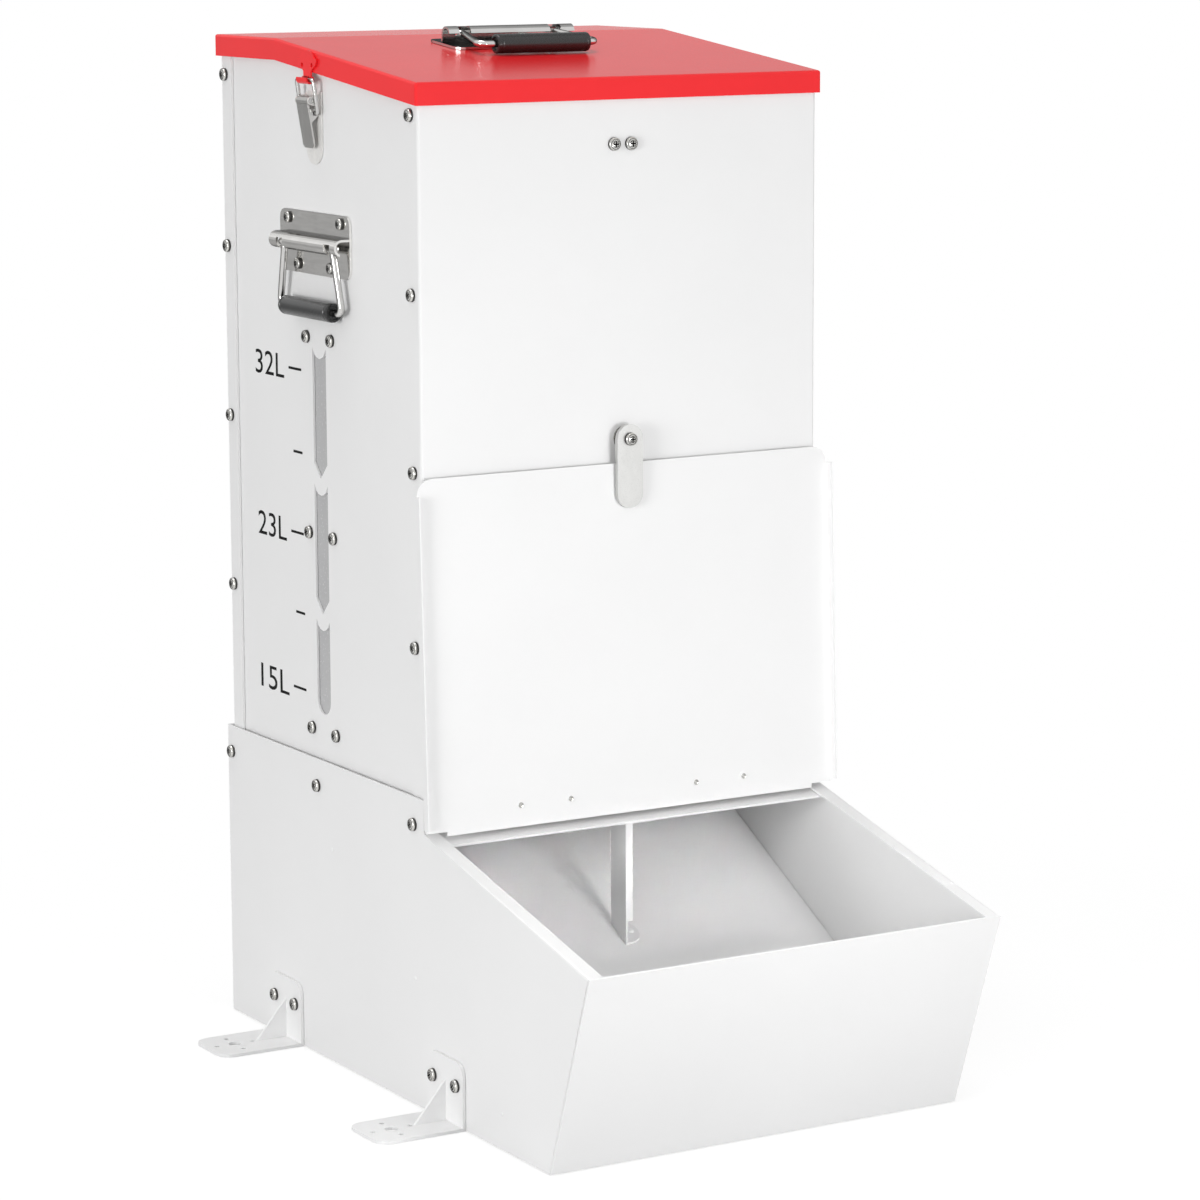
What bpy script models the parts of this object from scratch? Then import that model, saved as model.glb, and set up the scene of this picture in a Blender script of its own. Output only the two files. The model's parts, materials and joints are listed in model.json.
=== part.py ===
"""Gravity feeder of folded sheet steel: hopper, lid, trough base, folding trough cover and fittings.

Metres, +Z up. The trough opens towards -Y and the feeder stands on Z = 0, with the origin
under the middle of its box. Outlines are written with depth 0 at the hopper's front face,
and FEEDER moves them to their place.
"""

from math import asin, atan, cos, degrees, radians, sin, tan

import bmesh
import bpy
from mathutils import Matrix, Vector

# Sheet stock and clearances
SHEET = 0.0015
BEND = 0.0017
BEND_STEPS = 2
GAP = 0.0003
PIVOT_PLAY = 0.0003
SEAM = 0.0001
DOME_STEPS = 3

# Hopper
HOPPER_WIDTH = 0.290
HOPPER_DEPTH = 0.2768
HOPPER_FLOOR = 0.172
FRONT_FLANGE = 0.0165
REAR_FLANGE = 0.0155
PANEL_LIP = 0.019
LIP_RELIEF = 0.004

# Lid
LID_SHEET = 0.0012
LID_REAR_TOP = 0.6675
LID_FALL = 0.0215
LID_RIDGE = 0.1912
LID_SKIRT = 0.0141
LID_SIDE_OVERHANG = 0.0025
LID_FRONT_OVERHANG = 0.0024
LID_REAR_OVERHANG = 0.0038
LID_LIFT_GAP = 0.0003

# Base and trough
BASE_SIDE_GAP = 0.0015
BASE_REAR_GAP = 0.0009
BASE_HEIGHT = 0.2005
BASE_FLANGE = 0.015
FLOOR_GAP = 0.0005
TROUGH_REACH = 0.208
TROUGH_FRONT_FOOT = 0.161
RIM_FRONT_HEIGHT = 0.1316
RIM_REAR_HEIGHT = 0.1790
RIM_START = 0.0035
RIM_LIP = 0.010

# Feed ramp
RAMP_FOOT_HEIGHT = 0.0029
RAMP_SLOPE = 0.536
RAMP_FLANGE = 0.020
RAMP_FLANGE_LIFT = 0.0038
RAMP_FLANGE_SETBACK = 0.004
RAMP_STEP_DROP = 0.004

# Divider in the mouth of the feed passage
DIVIDER_FRONT = -0.003
DIVIDER_DEPTH = 0.019
DIVIDER_EDGE = 0.0045
DIVIDER_EDGE_FOOT = 0.016
DIVIDER_TAB_HALF = 0.015
DIVIDER_TAB_DEPTH = 0.0155
DIVIDER_TAB_ROUND = 0.003
DIVIDER_FOOT = 0.0135
DIVIDER_RIVET_OUT = 0.0077
DIVIDER_RIVET_RADIUS = 0.0015
DIVIDER_RIVET_HEAD = 0.0024

# Feet
FOOT_SHEET = 0.002
FOOT_WIDTH = 0.046
FOOT_HEIGHT = 0.043
FOOT_REACH = 0.0600
FOOT_FRONT = -0.032
FOOT_REAR = 0.1930
FOOT_ROUND = 0.008
FOOT_TIP_ROUND = 0.010
FOOT_GUSSET_REACH = 0.022
FOOT_GUSSET_HEIGHT = 0.026
FOOT_BOLT_RADIUS = 0.0045
FOOT_BOLT_OUT = 0.040
FOOT_SMALL_RADIUS = 0.0018
FOOT_SMALL_SPREAD = 0.013

# Window in the left side, three slots over one clear strip
WINDOW_CENTRE = 0.142
WINDOW_HALF = 0.0095
WINDOW_HORN_DROP = 0.007
WINDOW_TIP_DROP = 0.0100
WINDOW_LENGTH = 0.085
WINDOW_PITCH = 0.089
WINDOW_SHORTEST = 0.030
WINDOW_BELOW_HANDLE = 0.0675
WINDOW_ABOVE_BASE = 0.0295
STRIP_THICKNESS = 0.002
STRIP_HALF = 0.024
STRIP_MARGIN = 0.010
STRIP_ROUND = 0.004
WINDOW_SCREW_CENTRE = 0.1412
WINDOW_SCREW_SPREAD = 0.01725
WINDOW_SCREW_ABOVE = 0.0063
WINDOW_SCREW_BELOW = 0.0110
WINDOW_SCREW_LIFT = 0.0009

# Trough cover and its two hinges
COVER_SHEET = 0.001
COVER_SIDE_PLAY = 0.0034
COVER_TOP_OUT = 0.0044
COVER_BOTTOM = 0.0044
COVER_CORNER_BOTTOM = 0.0016
COVER_FACE = 0.0040
COVER_FLANGE = 0.0065
COVER_FLANGE_TOP = 0.2100
COVER_CORNER_RISE = 0.0105
COVER_FLANGE_FOOT = 0.0006
COVER_CORNER_WIDE = 0.012
COVER_CORNER_INSET = 0.002
COVER_RIM_PLAY = 0.0006
HINGE_OUT = 0.0085
HINGE_SPREAD = 0.065
HINGE_LENGTH = 0.052
HINGE_KNUCKLES = 5
KNUCKLE_RADIUS = 0.0026
KNUCKLE_GAP = 0.0004
HINGE_PIN_RADIUS = 0.0013
HINGE_LEAF = 0.001
HINGE_LEAF_HEIGHT = 0.0155
HINGE_WEB = 0.001
RIVET_RISE = 0.0093
RIVET_SPREAD = 0.0182
RIVET_RADIUS = 0.0014
RIVET_HEAD = 0.0030
RIVET_FOOT = 0.0024
RIVET_HEAD_HEIGHT = 0.0009

# Turn button over the cover's top edge
BUTTON_RISE = 0.0156
BUTTON_HALF = 0.0094
BUTTON_LENGTH = 0.0348
BUTTON_SHEET = 0.003
BUTTON_PLAY = 0.0005
BUTTON_SPACER = 0.0045
BUTTON_WASHER = 0.0075
BUTTON_WASHER_SHEET = 0.001

# Screws
SCREW_RADIUS = 0.002
SCREW_HEAD_RADIUS = 0.004
SCREW_HEAD_HEIGHT = 0.0024
NUT_RADIUS = 0.0038
NUT_HEIGHT = 0.003
FRONT_SCREW_SPREAD = 0.0062
FRONT_SCREW_DROP = 0.042
BACKING_HALF_WIDTH = 0.0125
BACKING_HALF_HEIGHT = 0.008
BACKING_ROUND = 0.002

# Drop handles: plate with a rolled barrel, wire bail and sleeve grip
HANDLE_WIDTH = 0.0986
HANDLE_HEIGHT = 0.040
HANDLE_SHEET = 0.0015
HANDLE_ROUND = 0.006
BARREL_LENGTH = 0.0935
BARREL_RADIUS = 0.0054
BARREL_RISE = 0.0004
BARREL_OUT = 0.0072
BARREL_LIP_ANGLE = -75
BAIL_RADIUS = 0.00225
BAIL_DROP = 0.0410
BAIL_TOP_HALF = 0.0338
BAIL_FOOT_HALF = 0.0440
BAIL_STUB = 0.0060
BAIL_CORNER = 0.003
BAIL_LOW = 0.0009
BAIL_LEAN = 0.0012
GRIP_RADIUS = 0.00625
GRIP_LENGTH = 0.068
GRIP_ROUND = 0.0012
SIDE_HANDLE_DEPTH = 0.1423
SIDE_HANDLE_DROP = 0.0505
SIDE_BARREL_SHIFT = 0.0020
SIDE_BAIL_SHIFT = 0.0038
SIDE_GRIP_SHIFT = -0.0020
LID_HANDLE_DEPTH = 0.1395
LID_HANDLE_SIDE = -0.0027
LID_BARREL_SHIFT = -0.0003
LID_BAIL_SHIFT = -0.0013
LID_GRIP_SHIFT = 0.0017

# Draw latches
LATCH_DEPTH = 0.1413
LATCH_SHEET = 0.0012
LATCH_BASE_HALF = 0.0105
LATCH_BASE_DROP = 0.0127
LATCH_BASE_LENGTH = 0.0465
LATCH_PIVOT_DROP = 0.0182
LATCH_PIVOT_OUT = 0.0076
LATCH_PIN_RADIUS = 0.00125
LATCH_PIN_RIM = 0.0007
LATCH_PIN_HEAD = 0.0004
LATCH_EAR = 0.001
LATCH_EAR_HALF = 0.0040
LATCH_EAR_ROUND = 0.0026
LEVER_HALF = 0.0077
LEVER_LENGTH = 0.0303
LEVER_LEAN = radians(9.5)
LEVER_CURL = 0.0026
LEVER_TIP_CORNER = 0.002
LEVER_CHEEK_DEPTH = 0.0041
LEVER_CHEEK_ABOVE = 0.0030
LEVER_CHEEK_BELOW = 0.0020
LEVER_CHEEK_END = 0.0145
LOOP_WIRE = 0.0013
LOOP_HALF = 0.0117
LOOP_PIVOT_OUT = -0.0033
LOOP_PIVOT_DROP = 0.0080
LOOP_CORNER = 0.0015
LOOP_END_PLAY = 0.0006
HOOK_PLAY = 0.0002
HOOK_HALF = 0.0071
HOOK_DROP = 0.0052
HOOK_ROOT = 0.002
HOOK_LIP_ANGLE = 305
KEEPER_HALF = 0.013
KEEPER_NECK_HALF = 0.0052
KEEPER_NECK_RISE = 0.0003
KEEPER_SHOULDER = 0.004
KEEPER_TOP_DROP = 0.0008
KEEPER_ARC_START = 38
KEEPER_HOLE = 0.0016
KEEPER_HOLE_SPREAD = 0.0066
KEEPER_HOLE_RISE = 0.0053

# Places worked out from the sizes above
BASE_HALF = HOPPER_WIDTH / 2 + BASE_SIDE_GAP + SHEET
BASE_REAR = HOPPER_DEPTH + BASE_REAR_GAP + 2 * SHEET + GAP
FRONT_Y = (TROUGH_REACH - BASE_REAR) / 2
SIDE_FACE = HOPPER_WIDTH / 2 - SHEET - GAP
LID_FRONT_TOP = LID_REAR_TOP - LID_FALL
LID_ANGLE = atan(LID_FALL / (LID_RIDGE + LID_FRONT_OVERHANG))
RIM_SLOPE = (RIM_REAR_HEIGHT - RIM_FRONT_HEIGHT) / (TROUGH_REACH - RIM_START)
RIM_ANGLE = atan(RIM_SLOPE)
RAMP_ANGLE = atan(RAMP_SLOPE)
RAMP_HEIGHT = RAMP_FOOT_HEIGHT + RAMP_SLOPE * TROUGH_FRONT_FOOT
COVER_TOP = COVER_FLANGE_TOP + COVER_CORNER_RISE
COVER_LEAN = asin((HINGE_OUT + COVER_FACE - COVER_TOP_OUT) / COVER_TOP)
TROUGH_LEAN = (TROUGH_REACH - TROUGH_FRONT_FOOT) / (RIM_FRONT_HEIGHT - FLOOR_GAP)
FEEDER = Matrix.Translation((0, FRONT_Y, 0))
RIGHT = 1
LEFT = -1
PLATE_SMOOTH = 40
WIRE_SMOOTH = 50
SIDE_NAMES = {LEFT: "left", RIGHT: "right"}

WHITE = ("white_paint", (0.86, 0.86, 0.86), 0.45, 0.0)
INSIDE_WHITE = ("trough_paint", (0.80, 0.80, 0.80), 0.5, 0.0)
RED = ("red_paint", (0.80, 0.02, 0.03), 0.3, 0.0)
STEEL = ("polished_steel", (0.62, 0.61, 0.60), 0.25, 1.0)
SATIN = ("satin_steel", (0.70, 0.69, 0.67), 0.4, 1.0)
ZINC = ("zinc_plate", (0.55, 0.55, 0.54), 0.35, 1.0)
RUBBER = ("black_rubber", (0.03, 0.03, 0.03), 0.6, 0.0)
CLEAR = ("clear_strip", (0.55, 0.56, 0.57), 0.3, 0.0)


# Scene and materials


def clear_scene():
    for obj in list(bpy.data.objects):
        bpy.data.objects.remove(obj, do_unlink=True)


def new_collection(name):
    collection = bpy.data.collections.new(name)
    bpy.context.scene.collection.children.link(collection)
    return collection


def material_of(finish):
    name, colour, roughness, metallic = finish
    material = bpy.data.materials.get(name)
    if material is None:
        material = bpy.data.materials.new(name)
        material.use_nodes = True
        shader = material.node_tree.nodes["Principled BSDF"]
        shader.inputs["Base Color"].default_value = (*colour, 1)
        shader.inputs["Roughness"].default_value = roughness
        shader.inputs["Metallic"].default_value = metallic
        material.diffuse_color = (*colour, 1)
    return material


clear_scene()
PARTS = new_collection("gravity_feeder")
CUTTERS = new_collection("cutters")


def add_object(name, data, matrix, finish):
    obj = bpy.data.objects.new(name, data)
    obj.matrix_world = FEEDER @ matrix
    PARTS.objects.link(obj)
    data.materials.clear()
    data.materials.append(material_of(finish))
    return obj


def smooth(mesh, limit):
    """Smooth shading, with the edges sharp where faces meet at more than the limit in degrees."""
    mesh.shade_smooth()
    mesh.set_sharp_from_angle(angle=radians(limit))


# Frames: the first two columns carry an outline's u and v, the third its thickness


def plane(u, v, origin=(0, 0, 0)):
    u = Vector(u).normalized()
    v = Vector(v).normalized()
    matrix = Matrix((u, v, u.cross(v))).transposed().to_4x4()
    return Matrix.Translation(origin) @ matrix


def side_plane(side, out=0.0, depth=0.0, height=0.0):
    """Frame on a side of the feeder: u along the side, v up, w away from the feeder."""
    return plane((0, side, 0), (0, 0, 1), (side * out, depth, height))


FRONT_PLANE = plane((1, 0, 0), (0, 0, 1))


# Outlines


def arc(centre_u, centre_v, radius, start, end, steps):
    """Points on a circle from one angle to another, in degrees."""
    turns = [radians(start + (end - start) * i / steps) for i in range(steps + 1)]
    return [(centre_u + radius * cos(t), centre_v + radius * sin(t)) for t in turns]


def circle(u, v, radius, steps=12):
    return arc(u, v, radius, 0, 360, steps)[:-1]


def rounded_box(half_u, half_v, radius, steps=3, centre=(0, 0)):
    corners = ((1, 1, 0), (-1, 1, 90), (-1, -1, 180), (1, -1, 270))
    points = []
    for sign_u, sign_v, start in corners:
        u = centre[0] + sign_u * (half_u - radius)
        v = centre[1] + sign_v * (half_v - radius)
        points += arc(u, v, radius, start, start + 90, steps)
    return points


def flipped(points, side):
    """The outline with u turned round on the left side, so that depth grows to the rear on both."""
    return [(side * u, v) for u, v in points]


# Solids


def dome(radius, low, height):
    """Profile of a round head, from its crown down to its rim."""
    turns = [radians(90 * i / DOME_STEPS) for i in range(DOME_STEPS + 1)]
    return [(radius * sin(t), low + height * cos(t)) for t in turns]


def mesh_from_curve(name, curve, limit):
    helper = bpy.data.objects.new(name, curve)
    PARTS.objects.link(helper)
    graph = bpy.context.evaluated_depsgraph_get()
    mesh = bpy.data.meshes.new_from_object(helper.evaluated_get(graph))
    bpy.data.objects.remove(helper)
    bpy.data.curves.remove(curve)
    mesh.name = name
    shape = bmesh.new()
    shape.from_mesh(mesh)
    bmesh.ops.remove_doubles(shape, verts=shape.verts, dist=1e-6)
    bmesh.ops.recalc_face_normals(shape, faces=shape.faces)
    shape.to_mesh(mesh)
    shape.free()
    smooth(mesh, limit)
    return mesh


def plate(name, loops, low, high, matrix, finish):
    """A flat plate with holes, between two levels along the frame's w."""
    curve = bpy.data.curves.new(name, "CURVE")
    curve.dimensions = "2D"
    curve.fill_mode = "BOTH"
    curve.extrude = (high - low) / 2
    for loop in loops:
        spline = curve.splines.new("POLY")
        spline.points.add(len(loop) - 1)
        spline.use_cyclic_u = True
        for point, (u, v) in zip(spline.points, loop):
            point.co = (u, v, 0, 1)
    mesh = mesh_from_curve(name, curve, PLATE_SMOOTH)
    middle = Matrix.Translation((0, 0, (low + high) / 2))
    return add_object(name, mesh, matrix @ middle, finish)


def folded(name, outline, folds, thickness, matrix, finish):
    """A sheet bent from a flat outline, whose outer face lies in the frame's plane.

    folds gives, for the outline's edge from point i to the next, the vector of its flange.
    """
    shape = bmesh.new()
    points = [shape.verts.new((u, v, 0)) for u, v in outline]
    web = shape.faces.new(points)
    for index, vector in folds.items():
        ends = (points[index], points[(index + 1) % len(points)])
        made = bmesh.ops.extrude_edge_only(shape, edges=[shape.edges.get(ends)])
        moved = [item for item in made["geom"] if isinstance(item, bmesh.types.BMVert)]
        bmesh.ops.translate(shape, verts=moved, vec=vector)
    bmesh.ops.recalc_face_normals(shape, faces=shape.faces)
    web.normal_update()
    if web.normal.z < 0:
        bmesh.ops.reverse_faces(shape, faces=shape.faces)
    mesh = bpy.data.meshes.new(name)
    shape.to_mesh(mesh)
    shape.free()
    obj = add_object(name, mesh, matrix, finish)
    bend_and_thicken(obj, thickness, thickness + BEND - SHEET)
    return obj


def bend_and_thicken(obj, thickness, radius):
    bend = obj.modifiers.new("bend", "BEVEL")
    bend.width = radius
    bend.segments = BEND_STEPS
    bend.limit_method = "ANGLE"
    bend.angle_limit = radians(30)
    skin = obj.modifiers.new("thickness", "SOLIDIFY")
    skin.thickness = thickness
    skin.offset = -1
    skin.use_even_offset = True


def turned(name, profile, matrix, finish, steps=12):
    """A turned piece about the frame's w, from a profile that runs down its outer side."""
    mesh = bpy.data.meshes.new(name)
    closed = profile[0][0] > 0
    edges = [(i, i + 1) for i in range(len(profile) - 1)]
    if closed:
        edges.append((len(profile) - 1, 0))
    mesh.from_pydata([(r, 0, w) for r, w in profile], edges, [])
    obj = add_object(name, mesh, matrix, finish)
    lathe = obj.modifiers.new("lathe", "SCREW")
    lathe.steps = steps
    lathe.render_steps = steps
    lathe.use_merge_vertices = True
    lathe.merge_threshold = 1e-6
    lathe.use_smooth_shade = True
    return obj


def rounded_path(points, radius, steps=3):
    """The points of a bent wire, with an arc in place of each inner corner."""
    path = [Vector(points[0])]
    for before, corner, after in zip(points, points[1:], points[2:]):
        corner = Vector(corner)
        back = (Vector(before) - corner).normalized()
        ahead = (Vector(after) - corner).normalized()
        half = back.angle(ahead) / 2
        reach = radius / tan(half)
        centre = corner + (back + ahead).normalized() * (radius / sin(half))
        start = corner + back * reach - centre
        end = corner + ahead * reach - centre
        for i in range(steps + 1):
            path.append(centre + start.slerp(end, i / steps).normalized() * radius)
    path.append(Vector(points[-1]))
    return path


def wire(name, path, radius, matrix, finish):
    """A round wire along a path of points."""
    curve = bpy.data.curves.new(name, "CURVE")
    curve.dimensions = "3D"
    curve.bevel_depth = radius
    curve.bevel_resolution = 2
    curve.use_fill_caps = True
    spline = curve.splines.new("POLY")
    spline.points.add(len(path) - 1)
    for point, place in zip(spline.points, path):
        point.co = (*place, 1)
    mesh = mesh_from_curve(name, curve, WIRE_SMOOTH)
    return add_object(name, mesh, matrix, finish)


def hide_helper(helper):
    PARTS.objects.unlink(helper)
    CUTTERS.objects.link(helper)
    helper.hide_render = True
    helper.display_type = "WIRE"


def combine(obj, helpers, operation):
    for helper in helpers:
        step = obj.modifiers.new(helper.name, "BOOLEAN")
        step.operation = operation
        step.solver = "EXACT"
        step.object = helper
        hide_helper(helper)
    return obj


def unite(obj, *helpers):
    return combine(obj, helpers, "UNION")


def cut(obj, *helpers):
    return combine(obj, helpers, "DIFFERENCE")


def block(name, low, high, matrix):
    """A box between two corners of the frame, used to cut or to join."""
    middle = (Vector(low) + Vector(high)) / 2
    shape = bmesh.new()
    bmesh.ops.create_cube(shape, size=1)
    bmesh.ops.scale(shape, verts=shape.verts, vec=Vector(high) - Vector(low))
    mesh = bpy.data.meshes.new(name)
    shape.to_mesh(mesh)
    shape.free()
    return add_object(name, mesh, matrix @ Matrix.Translation(middle), ZINC)


def drill(name, u, v, radius, matrix, low=-0.01, high=0.01, steps=12):
    """A round cutter along the frame's w."""
    return plate(name, [circle(u, v, radius, steps)], low, high, matrix, ZINC)


def pivot(name, matrix):
    """An empty on a joint's axis, which carries the pieces that turn or slide there."""
    empty = bpy.data.objects.new(name, None)
    empty.empty_display_size = 0.01
    empty.matrix_world = FEEDER @ matrix
    PARTS.objects.link(empty)
    return empty


def carry(empty, *pieces):
    for piece in pieces:
        place = piece.matrix_basis.copy()
        piece.parent = empty
        piece.matrix_parent_inverse = empty.matrix_basis.inverted()
        piece.matrix_basis = place


# Heights along the slopes


def rim_height(depth):
    """Top of the trough's side lips. Depth is negative in front of the hopper."""
    return RIM_REAR_HEIGHT + (depth + RIM_START) * RIM_SLOPE


def ramp_top(depth):
    return RAMP_HEIGHT + RAMP_SLOPE * depth


def lid_top(depth):
    if depth >= LID_RIDGE:
        return LID_REAR_TOP
    return LID_REAR_TOP - (LID_RIDGE - depth) * tan(LID_ANGLE)


def under_lid(depth):
    return lid_top(depth) - LID_SHEET / cos(LID_ANGLE) - LID_LIFT_GAP


def trough_front(height, inset=0.0):
    """Depth of the trough front's outer face at a height, or of a face set back behind it."""
    return inset / cos(atan(TROUGH_LEAN)) - TROUGH_FRONT_FOOT - (height - FLOOR_GAP) * TROUGH_LEAN


def skirt_foot():
    """Height of the lid skirt's lower edge beside the latches."""
    return lid_top(LATCH_DEPTH) - LID_SKIRT


def side_handle_height():
    """Height of a side handle's middle, which hangs below the latch's plate."""
    return skirt_foot() - LATCH_BASE_DROP - LATCH_BASE_LENGTH - SIDE_HANDLE_DROP


def cover_top():
    """Height of the cover's top edge."""
    return hinge_axis().z + COVER_TOP * cos(COVER_LEAN)


def hinge_axis():
    above_rim = (COVER_FACE + COVER_RIM_PLAY) / cos(RIM_ANGLE)
    return Vector((0, -HINGE_OUT, rim_height(-HINGE_OUT) + above_rim))


PANEL_LIP_HEIGHT = rim_height(0) - (SHEET + GAP) / cos(RIM_ANGLE)


# Hopper


def window_top():
    return side_handle_height() - WINDOW_BELOW_HANDLE


def window_foot():
    return BASE_HEIGHT + WINDOW_ABOVE_BASE


def window_slots():
    """Whole slots from the top of the window down, and a shorter one with what is left."""
    slots = []
    top = window_top()
    while top - window_foot() > WINDOW_LENGTH:
        slots.append(window_slot(top, top - WINDOW_LENGTH, False))
        top -= WINDOW_PITCH
    if top - window_foot() > WINDOW_SHORTEST:
        slots.append(window_slot(top, window_foot(), True))
    return slots


def window_slot(top, foot, last):
    """A slot with a hollow top between two horns, and a pointed foot, or a round one on the last."""
    radius = (WINDOW_HALF**2 + WINDOW_HORN_DROP**2) / (2 * WINDOW_HORN_DROP)
    reach = degrees(asin(WINDOW_HALF / radius))
    centre = top - WINDOW_HORN_DROP + radius
    points = arc(WINDOW_CENTRE, centre, radius, 270 - reach, 270 + reach, 6)
    if last:
        return points + arc(WINDOW_CENTRE, foot + WINDOW_HALF, WINDOW_HALF, 0, -180, 8)
    tip = [(WINDOW_HALF, WINDOW_TIP_DROP), (0, 0), (-WINDOW_HALF, WINDOW_TIP_DROP)]
    return points + [(WINDOW_CENTRE + u, foot + v) for u, v in tip]


def window_screw_heights():
    top = window_top() + WINDOW_SCREW_ABOVE
    foot = window_foot() - WINDOW_SCREW_BELOW
    return top, (top + foot) / 2 + WINDOW_SCREW_LIFT, foot


def window_screw_places():
    for height in window_screw_heights():
        for sign in (1, -1):
            yield WINDOW_SCREW_CENTRE + sign * WINDOW_SCREW_SPREAD, height


def make_hopper_side(side):
    front = SHEET + GAP
    rear = HOPPER_DEPTH - SHEET - GAP
    outline = [
        (front, HOPPER_FLOOR),
        (rear, HOPPER_FLOOR),
        (rear, under_lid(rear)),
        (LID_RIDGE, under_lid(LID_RIDGE)),
        (front, under_lid(front)),
    ]
    loops = [outline]
    if side == LEFT:
        loops += window_slots()
        for depth, height in window_screw_places():
            loops.append(circle(depth, height, SCREW_RADIUS + GAP, 10))
    loops = [flipped(loop, side) for loop in loops]
    name = f"hopper_{SIDE_NAMES[side]}_side"
    plate(name, loops, -SHEET, 0, side_plane(side, SIDE_FACE), WHITE)


def make_window():
    frame = side_plane(LEFT, SIDE_FACE)
    top = window_screw_heights()[0] + STRIP_MARGIN
    foot = window_screw_heights()[-1] - STRIP_MARGIN
    centre = (WINDOW_CENTRE, (top + foot) / 2)
    outline = rounded_box(STRIP_HALF, (top - foot) / 2, STRIP_ROUND, 2, centre)
    loops = [outline]
    for depth, height in window_screw_places():
        loops.append(circle(depth, height, SCREW_RADIUS + GAP, 10))
    loops = [flipped(loop, LEFT) for loop in loops]
    inner = -SHEET - GAP - STRIP_THICKNESS
    plate("window_strip", loops, inner, -SHEET - GAP, frame, CLEAR)
    for number, (depth, height) in enumerate(window_screw_places(), 1):
        place = frame @ Matrix.Translation((-depth, height, 0))
        screw(f"window_screw_{number}", place, SHEET + GAP + STRIP_THICKNESS)


def screw(name, matrix, grip):
    """A pan-head screw with its nut, clamping a stack of sheets below the frame's plane."""
    nut = -grip - GAP
    profile = dome(SCREW_HEAD_RADIUS, GAP, SCREW_HEAD_HEIGHT)
    profile += [
        (SCREW_RADIUS, GAP),
        (SCREW_RADIUS, nut),
        (NUT_RADIUS, nut),
        (NUT_RADIUS, nut - NUT_HEIGHT),
        (0, nut - NUT_HEIGHT),
    ]
    return turned(name, profile, matrix, ZINC)


def make_front_panel():
    half = HOPPER_WIDTH / 2
    top = under_lid(0)
    foot = PANEL_LIP_HEIGHT
    relief = half - LIP_RELIEF
    outline = [
        (-relief, foot),
        (relief, foot),
        (relief, foot + LIP_RELIEF),
        (half, foot + LIP_RELIEF),
        (half, top),
        (-half, top),
        (-half, foot + LIP_RELIEF),
        (-relief, foot + LIP_RELIEF),
    ]
    flange = Vector((0, 0, -FRONT_FLANGE))
    lip = Vector((0, -sin(RIM_ANGLE), cos(RIM_ANGLE))) * PANEL_LIP
    folds = {0: lip, 3: flange, 5: flange}
    panel = folded("hopper_front_panel", outline, folds, SHEET, FRONT_PLANE, WHITE)
    holes = [drill("button_hole", 0, button_height(), SCREW_RADIUS + GAP, FRONT_PLANE)]
    for number, (x, z) in enumerate(front_screw_places(), 1):
        holes.append(drill(f"front_hole_{number}", x, z, SCREW_RADIUS + GAP, FRONT_PLANE))
    cut(panel, *holes)


def front_screw_places():
    height = LID_FRONT_TOP - FRONT_SCREW_DROP
    return [(sign * FRONT_SCREW_SPREAD, height) for sign in (-1, 1)]


def make_front_screws():
    """Two screws above the middle of the front panel, with a backing plate inside."""
    centre = (0, LID_FRONT_TOP - FRONT_SCREW_DROP)
    loops = [rounded_box(BACKING_HALF_WIDTH, BACKING_HALF_HEIGHT, BACKING_ROUND, 2, centre)]
    for x, z in front_screw_places():
        loops.append(circle(x, z, SCREW_RADIUS + GAP, 10))
    high = -SHEET - GAP
    plate("front_backing_plate", loops, high - SHEET, high, FRONT_PLANE, ZINC)
    for number, (x, z) in enumerate(front_screw_places(), 1):
        place = FRONT_PLANE @ Matrix.Translation((x, z, 0))
        screw(f"front_screw_{number}", place, 2 * SHEET + GAP)


def make_rear_panel():
    half = HOPPER_WIDTH / 2
    top = under_lid(HOPPER_DEPTH)
    frame = plane((-1, 0, 0), (0, 0, 1), (0, HOPPER_DEPTH, 0))
    outline = [(-half, HOPPER_FLOOR), (half, HOPPER_FLOOR), (half, top), (-half, top)]
    flange = Vector((0, 0, -REAR_FLANGE))
    folded("hopper_rear_panel", outline, {1: flange, 3: flange}, SHEET, frame, WHITE)


# Base and trough


def make_base_side(side):
    front_top = trough_front(RIM_FRONT_HEIGHT, SHEET + GAP)
    front_foot = trough_front(FLOOR_GAP, SHEET + GAP)
    outline = [
        (front_foot, FLOOR_GAP),
        (BASE_REAR, FLOOR_GAP),
        (BASE_REAR, BASE_HEIGHT),
        (-RIM_START, BASE_HEIGHT),
        (-RIM_START, RIM_REAR_HEIGHT),
        (front_top, rim_height(front_top)),
    ]
    folds = {1: Vector((0, 0, -BASE_FLANGE)), 4: Vector((0, 0, -RIM_LIP))}
    name = f"base_{SIDE_NAMES[side]}_side"
    folded(name, flipped(outline, side), folds, SHEET, side_plane(side, BASE_HALF), WHITE)


def make_base_rear():
    half = BASE_HALF - SHEET - GAP
    rear = BASE_REAR - SHEET - GAP
    outline = [(-half, FLOOR_GAP), (half, FLOOR_GAP), (half, BASE_HEIGHT), (-half, BASE_HEIGHT)]
    plate("base_rear_panel", [outline], -rear, SHEET - rear, FRONT_PLANE, WHITE)


def make_trough_front():
    """The slanted front of the trough, which covers the front edges of the two sides."""
    foot = Vector((0, trough_front(FLOOR_GAP), FLOOR_GAP))
    top = Vector((0, trough_front(RIM_FRONT_HEIGHT), RIM_FRONT_HEIGHT))
    frame = plane((1, 0, 0), top - foot, foot)
    height = (top - foot).length
    outline = [(-BASE_HALF, 0), (BASE_HALF, 0), (BASE_HALF, height), (-BASE_HALF, height)]
    plate("trough_front_panel", [outline], -SHEET, 0, frame, WHITE)


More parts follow.
